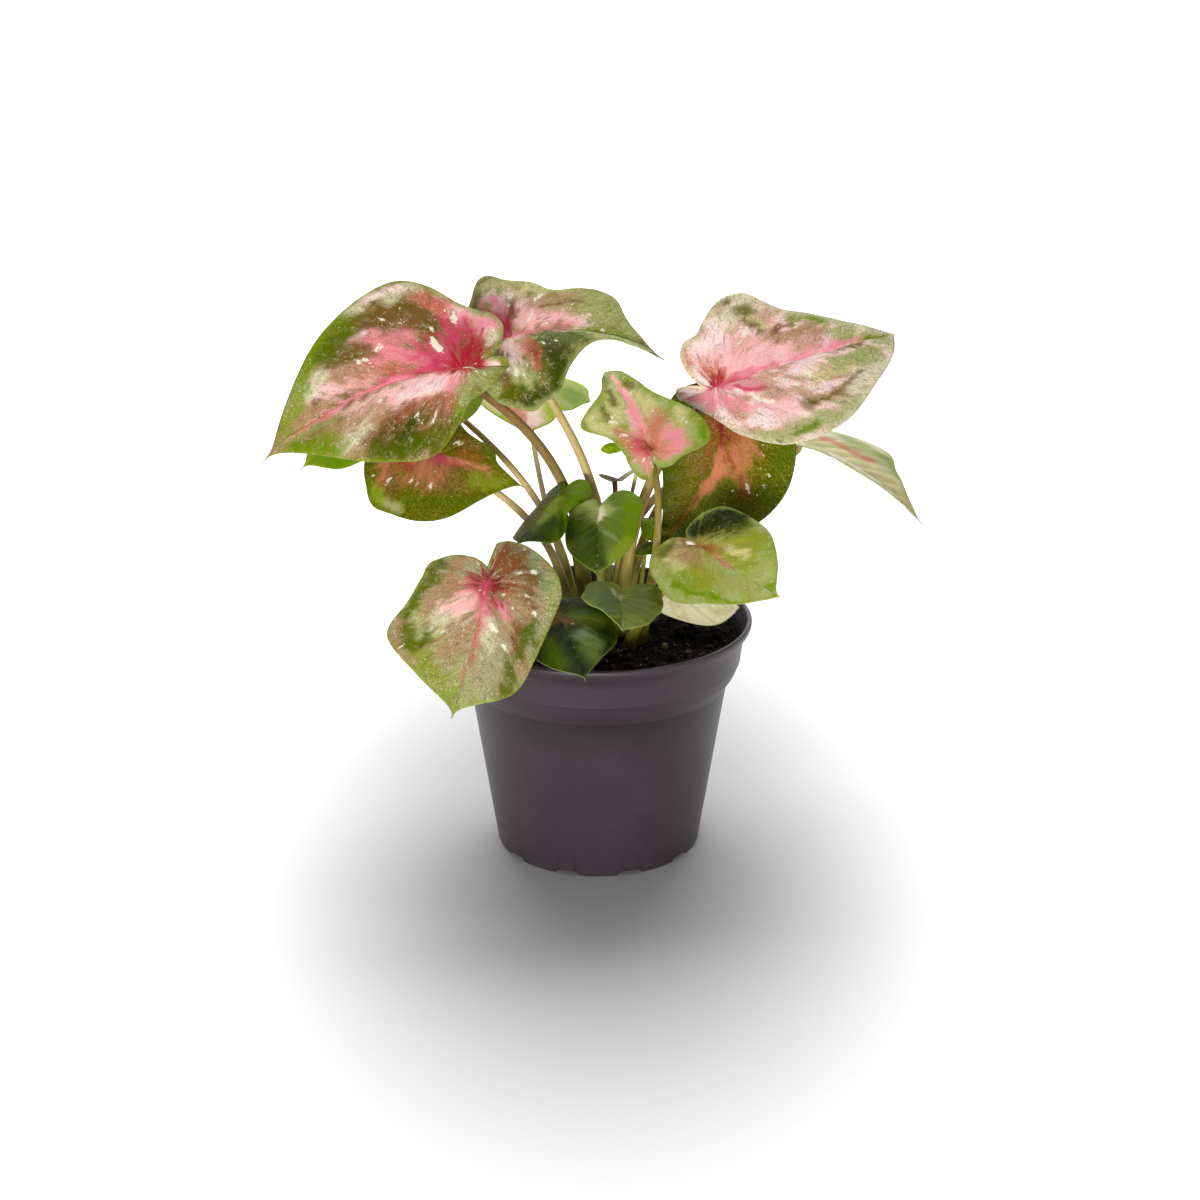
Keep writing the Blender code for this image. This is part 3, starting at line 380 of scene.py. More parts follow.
class PotSettings(bpy.types.PropertyGroup):
    """Sizes and colours of the nursery pot."""
    rim_radius: FloatProperty(name="Rim radius", description="Outer radius of the lip",
                              default=POT_HIGH.x, unit="LENGTH")
    height: FloatProperty(name="Height", description="Height of the pot", default=POT_HIGH.z, unit="LENGTH")
    foot_radius: FloatProperty(name="Foot radius", description="Outer radius at the floor",
                               default=40 * MM, unit="LENGTH")
    wall: FloatProperty(name="Wall", description="Thickness of the moulded wall", default=1.2 * MM,
                        unit="LENGTH")
    plastic: FloatVectorProperty(name="Plastic", description="Colour of the moulded plastic", size=3,
                                 subtype="COLOR", default=linear("352D32"))
    scuff: FloatVectorProperty(name="Scuffs", description="Colour of rubbed edges and dried splashes", size=3,
                               subtype="COLOR", default=linear("A79CA4"))


class SoilSettings(bpy.types.PropertyGroup):
    """Sizes, counts and colours of the peat."""
    level: FloatProperty(name="Level", description="Height of the soil in the pot", default=SOIL_HIGH.z,
                         unit="LENGTH")
    roughness: FloatProperty(name="Roughness", description="How far the surface rises and sinks",
                             default=1.1 * MM, unit="LENGTH")
    crumbs: IntProperty(name="Crumbs", description="Loose peat crumbs on the surface", default=700)
    fibres: IntProperty(name="Fibres", description="Fine roots and fibres on the surface", default=150)
    peat: FloatVectorProperty(name="Peat", description="Colour of the moist peat", size=3, subtype="COLOR",
                              default=linear("18110C"))


class BladeSettings(bpy.types.PropertyGroup):
    """Finish shared by all the leaf blades."""
    thickness: FloatProperty(name="Thickness", description="Thickness of a blade", default=0.35 * MM,
                             unit="LENGTH")
    vein_depth: FloatProperty(name="Vein depth", description="How deep the veins lie in the upper face",
                              default=0.14 * MM, unit="LENGTH")
    quilting: FloatProperty(name="Quilting", description="How far the blade swells between two veins",
                            default=0.2 * MM, unit="LENGTH")
    waves: FloatProperty(name="Edge waves", description="Height of the waves along the edge, on a blade"
                         " 60 mm long", default=0.9 * MM, unit="LENGTH")
    gloss: FloatProperty(name="Gloss", description="Roughness of the waxy upper face", default=0.36, min=0,
                         max=1)


class StalkSettings(bpy.types.PropertyGroup):
    """Shape of the leaf stalks."""
    taper: FloatProperty(name="Taper", description="Power by which a stalk thins towards its blade",
                         default=0.85, min=0.2, max=3)
    swelling: FloatProperty(name="Swelling", description="How much thicker a stalk is just above the soil",
                            default=0.7, min=0, max=1)


class StageSettings(bpy.types.PropertyGroup):
    """Camera, floor and lamps."""
    distance: FloatProperty(name="Camera distance", description="From the camera to the middle of the plant",
                            default=1.0, unit="LENGTH")
    elevation: FloatProperty(name="Camera elevation", description="Angle of the view above the horizon",
                             default=radians(20.3), unit="ROTATION")
    lens: FloatProperty(name="Lens", description="Focal length on a 36 mm sensor", default=76.9,
                        unit="CAMERA")
    aim_height: FloatProperty(name="Aim height", description="Height that the camera looks at",
                              default=100.2 * MM, unit="LENGTH")
    lamp_power: FloatProperty(name="Lamp power", description="Power of the large soft lamp behind",
                              default=10.0, unit="POWER")
    sky: FloatProperty(name="Sky", description="Strength of the even light from all round", default=0.17,
                       min=0, max=2)


SETTINGS = {"caladium_pot": PotSettings, "caladium_soil": SoilSettings, "caladium_blade": BladeSettings,
            "caladium_stalk": StalkSettings, "caladium_stage": StageSettings}


# ---------------------------------------------------------------- numbers

def smooth_step(low, high, value):
    """3t^2 - 2t^3 of where the value lies between low and high, held to 0..1."""
    t = np.clip((value - low) / (high - low), 0, 1)
    return t * t * (3 - 2 * t)


def smooth_noise(x, y, seed):
    """Random heights from -1 to 1 on whole-numbered corners, blended between them by smooth steps."""
    corner_x, corner_y = np.floor(x), np.floor(y)
    t, u = smooth_step(0, 1, x - corner_x), smooth_step(0, 1, y - corner_y)

    def height(i, j):
        value = np.sin((corner_x + i) * 127.1 + (corner_y + j) * 311.7 + seed * 74.7) * 43758.5453
        return value - np.floor(value)
    low = height(0, 0) * (1 - t) + height(1, 0) * t
    high = height(0, 1) * (1 - t) + height(1, 1) * t
    return 2 * (low * (1 - u) + high * u) - 1


def rough_noise(x, y, seed, octaves=4):
    """Smooth noise summed over octaves, each half as high and twice as fine as the last."""
    return sum(smooth_noise(x * 2**k, y * 2**k, seed + k) / 2**k for k in range(octaves))


def smooth_curve(points, count):
    """Catmull-Rom curve through the points, read at count even steps."""
    ends = np.vstack([2 * points[0] - points[1], points, 2 * points[-1] - points[-2]])
    spans = len(points) - 1
    at = np.linspace(0, spans, count)
    first = np.minimum(at.astype(int), spans - 1)
    t = (at - first)[:, None]
    a, b, c, d = (ends[first + k] for k in range(4))
    return 0.5 * (2 * b + (c - a) * t + (2 * a - 5 * b + 4 * c - d) * t**2 + (3 * b - a - 3 * c + d) * t**3)


def unit(vectors):
    """The vectors, scaled to length 1."""
    return vectors / np.maximum(np.linalg.norm(vectors, axis=-1, keepdims=True), 1e-12)


def around(count):
    """Angles of count even steps round a full turn."""
    return tau * np.arange(count) / count


# ---------------------------------------------------------------- meshes

ATTRIBUTES = {1: ("FLOAT", "value"), 3: ("FLOAT_VECTOR", "vector"), 4: ("FLOAT_COLOR", "color")}


def grid_faces(rows, columns):
    """Quads of a grid of rows x columns points, row by row, whose last column joins its first."""
    row, column = np.meshgrid(np.arange(rows - 1), np.arange(columns), indexing="ij")
    after = (column + 1) % columns
    corners = (row * columns + column, row * columns + after, (row + 1) * columns + after,
               (row + 1) * columns + column)
    return np.stack(corners, -1).reshape(-1, 4)


def fan_faces(pole, first, columns, outward=True):
    """Triangles from a pole point to the ring of columns points that starts at first."""
    column = np.arange(columns)
    pair = (first + column, first + (column + 1) % columns)
    rim = pair if outward else pair[::-1]
    return np.stack([np.full(columns, pole), *rim], -1)


def mesh_object(name, points, faces, finishes, colours=None, **values):
    """A smooth-shaded mesh object at the origin, with colours and values carried by its points."""
    mesh = bpy.data.meshes.new(name)
    mesh.from_pydata(points.tolist(), [], [face for group in faces for face in group.tolist()])
    if colours is not None:
        values = {"tint": np.c_[colours, np.ones(len(colours))], **values}
    for key, value in values.items():
        kind, field = ATTRIBUTES[value.size // len(value)]
        mesh.attributes.new(key, kind, "POINT").data.foreach_set(field, value.astype(np.float32).ravel())
    mesh.shade_smooth()
    made = bpy.data.objects.new(name, mesh)
    bpy.context.scene.collection.objects.link(made)
    for finish in finishes:
        mesh.materials.append(finish)
    return made


def place(piece, slot, *nodes):
    """Every piece moves with the one body and may stand for CAD nodes, which it hides; its slot is not used.
    """
    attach(piece, BODY)
    if nodes:
        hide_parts(*nodes)


# ---------------------------------------------------------------- blades

VEIN_SLOPE = 0.85          # how far a side vein runs along the blade for each unit that it runs across
VEIN_BEND = 0.35           # and how much more by the blade's edge, as a share of its half length
BASAL_STEP = radians(33)   # angle between the veins that leave the joint backwards
VEINS_A_SIDE = 6.5
STAGGER = 0.45             # of a lane, by which the veins on the left start ahead of those on the right
GRIDS = ((40, (56, 232)), (15, (40, 160)), (0, (28, 112)))  # rings and sectors of blades over so many mm long
FULL_LENGTH = 60           # mm: a blade this long has its relief at full size
WAVES, DENTS = 17, 23      # waves and small dents round a blade's edge
DENT_DEPTH = 0.012         # as a share of the way to the joint
EDGE_FADE, JOINT_FADE = 4, 10  # mm over which the veins rise out of the flat edge and out of the joint
WAVE_REACH = 14            # mm that the waves reach in from the edge
RIB_REACH = 1.8            # mm from the midrib's middle to where its groove runs out
UNEVEN, UNEVEN_SIZE = 0.12 * MM, 3  # height of the blade's small bumps, and how many mm they are apart
STROKE_CORE, STROKE_END = 0.2, 1.65  # where a stroke starts to fade and where it is gone, in its own radius
STROKE_COVER, ISLAND_COVER, MARGIN_COVER = 0.85, 0.75, 0.65  # how much of what lies under it each hides
WANDER, WANDER_SIZE = 1.3, 6  # mm that a stroke's line strays, and over how many mm
FLECK_SMALLEST, FLECK_SPREAD = 0.25, 0.5  # radii of the random splashes in mm: most of them are small
LUMINANCE = np.array([0.2126, 0.7152, 0.0722])
MIDDLE_LIGHT = 0.3         # lighter pigment is lifted and darker pigment sunk, by this power of their ratio
CONTRAST = 0.3
ENRICHED = 1.1


def half_outline(leaf, widths, lobe, blunt, count):
    """One half of the blade's edge: a smooth curve from the tip round the lobe to the cleft's bottom."""
    length = leaf.length
    behind = leaf.sinus + lobe
    at_three_quarters, at_half, at_fifth, behind_joint = widths
    points = [(length, 0), (0.92 * length, 0.03 * length + blunt * at_three_quarters),
              (0.75 * length, at_three_quarters), (0.5 * length, at_half), (0.2 * length, at_fifth),
              (-0.33 * behind, behind_joint), (-0.8 * behind, 0.74 * behind_joint),
              (-behind, 0.45 * behind_joint), (-leaf.sinus - 0.84 * lobe, 0.2 * behind_joint),
              (-leaf.sinus - 0.3 * lobe, 0.05 * behind_joint), (-leaf.sinus, 0)]
    return smooth_curve(np.array(points, float), count)


def flat_outline(leaf, sectors):
    """The blade's closed edge in flat millimetres: x to the tip, y to the left."""
    half = sectors // 2 + 1
    left, right = (half_outline(leaf, *shape, half) for shape in zip(
        (leaf.left, leaf.right), leaf.lobes, leaf.blunt))
    edge = np.vstack([left, (right * (1, -1))[-2:0:-1]])
    edge[:, 1] += leaf.skew * np.maximum(-edge[:, 0], 0)
    facing = np.degrees(np.arctan2(edge[:, 1], edge[:, 0]))
    for angle, out, spread in leaf.bumps:
        apart = (facing - angle + 180) % 360 - 180
        edge += (out * np.exp(-(apart / spread)**2))[:, None] * unit(edge)
    return edge


def arc(distance, start, bend):
    """Run and rise of a curve that starts at an angle and turns evenly by bend for each unit."""
    bend = np.where(np.abs(bend) < 1e-6, 1e-6, bend)
    end = start + bend * distance
    return (np.sin(end) - np.sin(start)) / bend, (np.cos(start) - np.cos(end)) / bend


def bent(leaf, x, y):
    """Flat points of the blade bent across its midrib, along it and sideways, each along an arc."""
    length = leaf.length
    soft = 0.03 * length
    across = np.sqrt(y * y + soft * soft) - soft
    curl = np.where(y >= 0, radians(leaf.curl[0]) / max(leaf.left), radians(leaf.curl[1]) / max(leaf.right))
    aside, rise = arc(across, radians(leaf.fold), -curl)
    aside *= np.sign(y)
    ahead = x >= 0
    along = np.abs(x)
    turn = np.where(ahead, radians(leaf.droop) / length, radians(leaf.sag) / (0.3 * length))
    run, drop = arc(along, 0.0, -turn)
    tilt = -turn * along * np.sign(x)
    sideways = np.where(ahead, radians(leaf.sweep) / length, 0.0)
    shift = arc(along, 0.0, sideways)[1]
    swing = sideways * along
    return np.stack([run * np.sign(x) - rise * np.sin(tilt) - aside * np.sin(swing),
                     aside * np.cos(swing) + shift, drop + rise * np.cos(tilt)], -1)


def leaf_turn(leaf):
    """The leaf's turn, as a matrix: its columns are the blade's forward, left and upper sides."""
    return np.array(Euler((radians(leaf.roll), -radians(leaf.pitch), radians(leaf.heading))).to_matrix())


def vein_lane(leaf, x, y):
    """Which side vein a point lies on or between: whole numbers are veins.

    A vein leaves the midrib at x0 and curves forward, so x0 = x - slope |y| - bend y^2. Behind the
    joint the veins spread from it like spokes, and the lane is their angle over the basal step.
    """
    half = np.abs(y)
    straight = x - VEIN_BEND * half * half / leaf.length
    start = straight - VEIN_SLOPE * half
    first = np.arctan2(1, VEIN_SLOPE)
    spoke = (first - np.arctan2(half, straight)) / BASAL_STEP
    stagger = STAGGER * smooth_step(-1, 1, y)
    return np.where(start > 0, start * VEINS_A_SIDE / leaf.length, spoke) + stagger


def vein_lanes(leaf, x, y):
    """The lane, the distance along it, and how many millimetres wide one lane is: 1 / its slope."""
    step = 0.02
    lane = vein_lane(leaf, x, y)
    slope = np.hypot(vein_lane(leaf, x + step, y) - lane, vein_lane(leaf, x, y + step) - lane) / step
    wide = np.clip(1 / np.maximum(slope, 1e-3), 0.2, 25)
    half = np.abs(y)
    along = np.where(x - VEIN_SLOPE * half > 0, half * np.hypot(1, VEIN_SLOPE), np.hypot(x, y))
    return lane, along, wide


def near_line(value):
    """Distance from the nearest whole number."""
    return np.abs(value + 0.5 - np.floor(value + 0.5) - 0.5)


def painted(coat, x, y, rim, lane, along, seed):
    """The blade's colour at each point, painted sheen and shade included, and how mottled it is: strokes
    mixed one over the other.

    A stroke is full near its line and gone at STROKE_END radii from it, and its edge wanders with noise
    drawn out along the veins. The strokes come out flat when mixed, so at the end light pigment is
    lifted, dark pigment sunk and both enriched.
    """
    streak = FAMILIES[coat.finish].feather * rough_noise(lane * 6, along / 4, seed + 3, 4)
    px, py = (at + WANDER * rough_noise(x / WANDER_SIZE, y / WANDER_SIZE, seed + k)
              for at, k in ((x, 1), (y, 2)))
    colour = np.broadcast_to(PAINT[coat.base], (*x.shape, 3)).copy()
    mottle = np.ones(x.shape)

    def lay(name, weight):
        colour[...] += weight[..., None] * (PAINT[name] - colour)
        mottle[...] += weight * (CLEAR.get(name, 1.0) - mottle)
    patch, share = coat.islands
    island = 0.5 + share + 0.5 * rough_noise(lane * 1.7, along / 9, seed + 4)
    lay(patch, ISLAND_COVER * smooth_step(0.55, 0.9, island))
    for name, x0, y0, x1, y1, radius in coat.strokes:
        run_x, run_y = x1 - x0, y1 - y0
        t = np.clip(((px - x0) * run_x + (py - y0) * run_y) / (run_x**2 + run_y**2 + 1e-9), 0, 1)
        away = np.hypot(px - x0 - t * run_x, py - y0 - t * run_y) / radius
        lay(name, STROKE_COVER * (1 - smooth_step(STROKE_CORE, STROKE_END, away + streak)))
    edge, width = coat.margin
    uneven = width * (1 + 0.8 * smooth_noise(lane * 1.3, along * 0 + 0.5, seed + 5) + 0.5 * streak)
    lay(edge, MARGIN_COVER * (1 - smooth_step(0.2, 1.5, rim / np.maximum(uneven, 0.1))))
    level = (colour @ LUMINANCE)[..., None]
    colour = (level / MIDDLE_LIGHT)**CONTRAST * (level + ENRICHED * (colour - level))
    return np.clip(colour, 0, 1), mottle


def blotted(coat, edge, x, y, seed):
    """How far inside a cream splash each point is, in millimetres: the largest of radius - distance.

    Distance is measured shorter along the veins, so that the splashes are drawn out along them.
    """
    rng = np.random.default_rng(seed)
    spots = list(coat.blots)
    for turn, reach, size in rng.random((coat.flecks, 3)):
        corner = edge[int(turn * len(edge))] * (0.15 + 0.75 * np.sqrt(reach))
        spots.append((*corner, FLECK_SMALLEST + FLECK_SPREAD * size**3))
    field = np.full(x.shape, -9.0)
    for spot_x, spot_y, radius in spots:
        ahead = spot_x - VEIN_SLOPE * abs(spot_y) > 0
        way = np.array([VEIN_SLOPE, np.sign(spot_y)] if ahead else [spot_x, spot_y], float)
        way /= max(np.hypot(*way), 1e-6)
        dx, dy = x - spot_x, y - spot_y
        far = np.hypot((dx * way[0] + dy * way[1]) / 2, 1.15 * (dy * way[0] - dx * way[1]))
        field = np.maximum(field, radius - far)
    return field


def blade(leaf, coat, seed, settings):
    """A blade as a polar grid round its joint: rings from the joint to the edge, sectors along the edge.

    Each point is the edge point drawn towards the joint, bent as the frame bends it, then moved along
    the surface's normal by the relief: grooves at the veins, swellings between them, waves at the edge.
    """
    rings, sectors = next(grid for longer, grid in GRIDS if leaf.length > longer)
    edge = flat_outline(leaf, sectors)
    turn = np.arange(sectors) / sectors
    dent = DENT_DEPTH * smooth_noise(turn * DENTS, turn * 0, seed) * np.sin(np.pi * np.minimum(4 * turn, 1))
    edge *= (1 + dent * np.minimum(8 * (1 - turn), 1))[:, None]
    reach = np.linspace(0, 1, rings + 1)[1:, None, None]
    flat = np.concatenate([np.zeros((1, 2)), (reach * edge).reshape(-1, 2)])
    ring = np.concatenate([[0], np.repeat(reach[:, 0, 0], sectors)])
    # distance to the edge; the notch behind the joint counts as farther off, having no coloured margin
    squared = (flat**2).sum(1)[:, None] + (edge**2).sum(1) - 2 * flat @ edge.T
    rim = np.sqrt(np.maximum(squared.min(1), 0)) * (ring < 1)
    rim += 0.2 * leaf.length * np.clip(1 - 3 * ring, 0, 1)
    x, y = flat.T
    lane, along, wide = vein_lanes(leaf, x, y)

    scale = min(leaf.length / FULL_LENGTH, 1.2)
    inner = smooth_step(0, JOINT_FADE * scale, np.hypot(x, y))
    outer = smooth_step(0, EDGE_FADE * scale, rim)
    side_vein = np.exp(-(near_line(lane) * wide / scale)**2) * outer * inner
    taper = 1 - 0.8 * np.clip(x / leaf.length, 0, 1)
    midrib = np.exp(-(y / (RIB_REACH * scale))**2) * smooth_step(-1, 3, x) * taper
    swell = np.sin(np.pi * lane)**2 * inner * outer
    place_round = np.concatenate([[0], np.tile(turn, rings)])
    wave = smooth_noise(place_round * WAVES, place_round * 0 + 0.5, seed + 7) * inner
    wave *= (1 - smooth_step(0, WAVE_REACH * scale, rim)) * (1 - smooth_step(0.8, 1, x / leaf.length))
    bumps = UNEVEN * smooth_noise(x / UNEVEN_SIZE, y / UNEVEN_SIZE, seed + 8)
    relief = scale * (settings.quilting * swell - settings.vein_depth * (side_vein + midrib)
                      + settings.waves * wave + bumps)
    step = 0.05
    normal = unit(np.cross(bent(leaf, x + step, y) - bent(leaf, x - step, y),
                           bent(leaf, x, y + step) - bent(leaf, x, y - step)))
    shape = bent(leaf, x, y) * MM + normal * relief[:, None]
    points = shape @ leaf_turn(leaf).T + np.array(leaf.joint) * MM

    faces = [fan_faces(0, 1, sectors), 1 + grid_faces(rings, sectors)[:, ::-1]]
    colours, mottle = painted(coat, x, y, rim, lane, along, seed)
    shift = 40 * seed
    made = mesh_object(
        f"leaf_{leaf.name}", points, faces, (FINISHES[coat.finish], FINISHES[coat.finish + "_under"]),
        colours, flat=np.stack([x + shift, y, rim], -1), grain=np.stack([lane + shift, along, wide], -1),
        blot=blotted(coat, edge, x, y, seed), mottle=mottle,
        rib=np.where(x > 0, 1.1 * scale * taper - np.abs(y), -np.hypot(x, y)))
    solid = made.modifiers.new("thickness", "SOLIDIFY")
    solid.thickness = settings.thickness
    solid.offset = -1
    solid.material_offset = 1
    solid.material_offset_rim = 1
    return made


# ---------------------------------------------------------------- stalks

STALK_RINGS, STALK_SIDES = 56, 20
STUB = 1.5                 # mm of straight length at each end of a stalk
JOINT_GAP = 1.15           # mm: the blade's thickness and clearance in the frame
TUCK = 0.3                 # mm from the end of a stalk to the upper face of its blade
GROOVE_DEPTH = 0.10        # of the shallow groove along a stalk, as a share of its radius
GROOVE_WIDTH = 0.5         # radians from the groove's middle to where it runs out
LUMPY, LUMP_LENGTH = 0.03, 6  # how unevenly thick a stalk is, as a share, and over how many mm
SWELL_HEIGHT = 20          # mm up a stalk that its swollen foot fades over
COLLAR, COLLAR_LENGTH = 0.25, 2.5  # how much thicker a stalk is under its blade, and over how many mm


def stalk_path(leaf, count):
    """Route of a stalk: straight up off the tuber, then a Bezier arch that ends square to its blade."""
    foot = np.array([*leaf.foot, TUBER_HIGH.z / MM])
    upper_side = leaf_turn(leaf)[:, 2]
    end = np.array(leaf.joint, float)
    start = foot + (0, 0, STUB)
    finish = end - upper_side * (STUB + JOINT_GAP)
    first, second = start + leaf.bow, finish - upper_side * leaf.reach
    t = np.linspace(0, 1, count - 2)[:, None]
    u = 1 - t
    arch = start * u**3 + first * 3 * t * u**2 + second * 3 * t**2 * u + finish * t**3
    return np.vstack([foot, arch, end - upper_side * TUCK])


def stalk(leaf, coat, seed, settings):
    """A round profile carried along the stalk's path: radius = blade end + (foot - blade end)(1 - t)^taper.

    It swells just above the soil and under the blade, and a shallow groove runs along its inner side.
    """
    path = stalk_path(leaf, STALK_RINGS)
    tangent = unit(np.gradient(path, axis=0))
    lean = np.cross((0, 0, 1), path[-1] - path[0])
    lean = lean if np.hypot(*lean[:2]) > 3 else np.array([1.0, 0.3, 0])
    across = unit(np.cross(tangent, unit(np.cross(unit(lean), tangent))))
    other = np.cross(tangent, across)
    run = np.concatenate([[0], np.cumsum(np.linalg.norm(np.diff(path, axis=0), axis=1))])
    t = run / run[-1]
    thick, thin = leaf.stalk
    radius = thin + (thick - thin) * (1 - t)**settings.taper
    collar = COLLAR * np.exp(-((run[-1] - run) / COLLAR_LENGTH)**2)
    radius *= 1 + settings.swelling * np.exp(-(run / SWELL_HEIGHT)**2) + collar
    radius *= 1 + LUMPY * smooth_noise(run / LUMP_LENGTH, run * 0, seed)
    angle = around(STALK_SIDES)
    groove = 1 - GROOVE_DEPTH * np.exp(-((angle - tau / 4) / GROOVE_WIDTH)**2)
    ring = (np.cos(angle) * groove)[None, :, None] * across[:, None] \
        + (np.sin(angle) * groove)[None, :, None] * other[:, None]
    body = path[:, None] + radius[:, None, None] * ring
    points = np.concatenate([path[:1], body.reshape(-1, 3), path[-1:]]) * MM
    faces = [fan_faces(0, 1, STALK_SIDES, False), 1 + grid_faces(STALK_RINGS, STALK_SIDES),
             fan_faces(len(points) - 1, len(points) - 1 - STALK_SIDES, STALK_SIDES)]
    share = np.concatenate([[0], np.repeat(t, STALK_SIDES), [1]])
    foot, middle, top = (PAINT[name] for name in coat.stalk)
    low, high = smooth_step(0.02, 0.5, share)[:, None], smooth_step(0.5, 0.98, share)[:, None]
    colours = foot * (1 - low) + middle * low * (1 - high) + top * high
    grain = np.stack([np.concatenate([[0], np.tile(angle, STALK_RINGS), [0]]),
                      np.concatenate([[0], np.repeat(run, STALK_SIDES), run[-1:]]),
                      np.full(len(points), 10.0 * seed)], -1)
    return mesh_object(f"stem_{leaf.name}", points, faces, (FINISHES["stalk"],), colours, grain=grain)


# ---------------------------------------------------------------- pot, soil and tuber

POT_STEPS, SOIL_STEPS, TUBER_STEPS = 240, 260, 120
BAND_TOP = (57.3, 88)      # radius and height of the points that shape the pot, in millimetres
BAND_FOOT = (55.2, 76)
SHOULDER = (50.6, 68)
LIP_WIDTH = 1.8
FLOOR, FLOOR_THICKNESS = 3.0, 1.5
BOSS_RADIUS = 12
NOTCHES, NOTCH_WIDTH, NOTCH_HEIGHT = 10, 8, 2
DRAINS, DRAIN_RADIUS, DRAIN_CIRCLE = 6, 4, 26
DRILL_LENGTH, DRILL_SIDES = 12, 32
SOIL_RINGS, TUBER_RINGS = 74, 60
SOIL_GAP, SOIL_TOP_GAP = 0.3, 0.25  # mm from the wall to the peat's side, and to the edge of its top
LUMP_SIZE = 7              # mm between the largest lumps of the peat
MOUND, MOUND_REACH = 2.4, 20  # height of the peat's mound round the stalks, and how far it spreads
DIP, DIP_RING = 1.2, (46, 55)  # how far the peat sinks beside the wall, and between which radii
SETTLED = 0.8              # mm that the peat lies under its level on average
KNOB_HEIGHT = 0.8          # mm that the tuber's knobs stand out
SOIL_SEED, CRUMB_SEED, FIBRE_SEED = 3, 11, 23


def rounded(points, radius, count=5):
    """Corners of a profile replaced by arcs, as quadratic Beziers that start a radius before each corner."""
    points = np.array(points, float)
    corner = points[1:-1]
    ends = []
    for way in (points[:-2] - corner, points[2:] - corner):
        far = np.linalg.norm(way, axis=1, keepdims=True)
        ends.append(corner + way / far * np.minimum(radius, 0.45 * far))
    t = np.linspace(0, 1, count)[None, :, None]
    arcs = ends[0][:, None] * (1 - t)**2 + 2 * corner[:, None] * t * (1 - t) + ends[1][:, None] * t**2
    return np.vstack([points[:1], arcs.reshape(-1, 2), points[-1:]])


def turned(profile, steps):
    """A profile of (radius, height) turned round Z; its first and last points lie on the axis."""
    angle = around(steps)
    rings = np.array(profile)[1:-1]
    body = np.stack([rings[:, :1] * np.cos(angle), rings[:, :1] * np.sin(angle),
                     np.broadcast_to(rings[:, 1:], (len(rings), steps))], -1)
    points = np.concatenate([[(0, 0, profile[0][1])], body.reshape(-1, 3), [(0, 0, profile[-1][1])]])
    faces = [fan_faces(0, 1, steps), 1 + grid_faces(len(rings), steps)[:, ::-1],
             fan_faces(len(points) - 1, len(points) - 1 - steps, steps, False)]
    return points, faces


def inside_radius(height, wall, foot):
    """Inner radius of the pot at a height, in millimetres: a cone, then the wider band."""
    cone = foot + (SHOULDER[0] - foot) * height / SHOULDER[1]
    share = (height - BAND_FOOT[1]) / (BAND_TOP[1] - BAND_FOOT[1])
    band = BAND_FOOT[0] + (BAND_TOP[0] - BAND_FOOT[0]) * share
    mix = smooth_step(SHOULDER[1], BAND_FOOT[1], height)
    return cone * (1 - mix) + band * mix - wall


def pot(settings):
    """The pot's profile turned round its axis, from the inner floor up the wall, over the lip and down.

    The foot ring is lifted by a notch's height where a notch crosses it, and the drains are cut out.
    """
    rim, top, foot, wall = (value / MM for value in (settings.rim_radius, settings.height,
                                                     settings.foot_radius, settings.wall))
    step = SHOULDER[1] - BAND_FOOT[1]
    narrowing = BAND_FOOT[0] - SHOULDER[0]
    flare = SHOULDER[0] - foot
    heights = np.array([FLOOR + FLOOR_THICKNESS, 40, SHOULDER[1], 72, BAND_FOOT[1], BAND_TOP[1]])
    inner = np.c_[inside_radius(heights, wall, foot), heights]
    outer = [(rim - LIP_WIDTH, top - 0.4), (rim - 0.5 * LIP_WIDTH, top), (rim, top - 0.6),
             (rim + 0.05, top - 2.0), (rim - 0.5, top - 3.4), (BAND_TOP[0] + 0.1, BAND_TOP[1]),
             (BAND_TOP[0] - 0.5, BAND_TOP[1] - 2), (BAND_FOOT[0] + 0.6, BAND_FOOT[1] + 2.2),
             (BAND_FOOT[0] + 0.55, BAND_FOOT[1] + 1.4), (BAND_FOOT[0] + 0.1, BAND_FOOT[1] + 0.6),
             (BAND_FOOT[0] - 0.25 * narrowing, BAND_FOOT[1] + 0.35 * step),
             (SHOULDER[0] + 0.3 * narrowing, SHOULDER[1] - 0.25 * step), SHOULDER,
             (foot + 0.55 * flare, 0.55 * SHOULDER[1]), (foot + 0.15 * flare, 0.15 * SHOULDER[1]),
             (foot + 0.2, 1.2), (foot - 0.5, 0), (foot - 2, 0), (foot - 2, FLOOR), (BOSS_RADIUS, FLOOR),
             (BOSS_RADIUS, 0), (0, 0)]
    points, faces = turned(rounded([(0, heights[0]), *inner, *outer], 0.6), POT_STEPS)
    turn = np.arctan2(points[:, 1], points[:, 0]) * NOTCHES / tau
    half = 0.5 * NOTCH_WIDTH / foot * NOTCHES / tau
    inside_notch = 1 - smooth_step(half, half * 1.12, near_line(turn))
    ring = (np.hypot(points[:, 0], points[:, 1]) > foot - 3) & (points[:, 2] < NOTCH_HEIGHT)
    points[:, 2] += np.where(ring, inside_notch * (NOTCH_HEIGHT - points[:, 2]), 0)
    made = mesh_object("nursery_pot", points * MM, faces, (FINISHES["pot"],))
    for turn in around(DRAINS):
        drill = drill_mesh(DRAIN_RADIUS, (DRAIN_CIRCLE * np.cos(turn), DRAIN_CIRCLE * np.sin(turn), FLOOR))
        cut = made.modifiers.new("drain", "BOOLEAN")
        cut.operation = "DIFFERENCE"
        cut.object = drill
        with bpy.context.temp_override(object=made, active_object=made):
            bpy.ops.object.modifier_apply(modifier=cut.name)
        bpy.data.objects.remove(drill)
    made.data.set_sharp_from_angle(angle=radians(50))
    return made


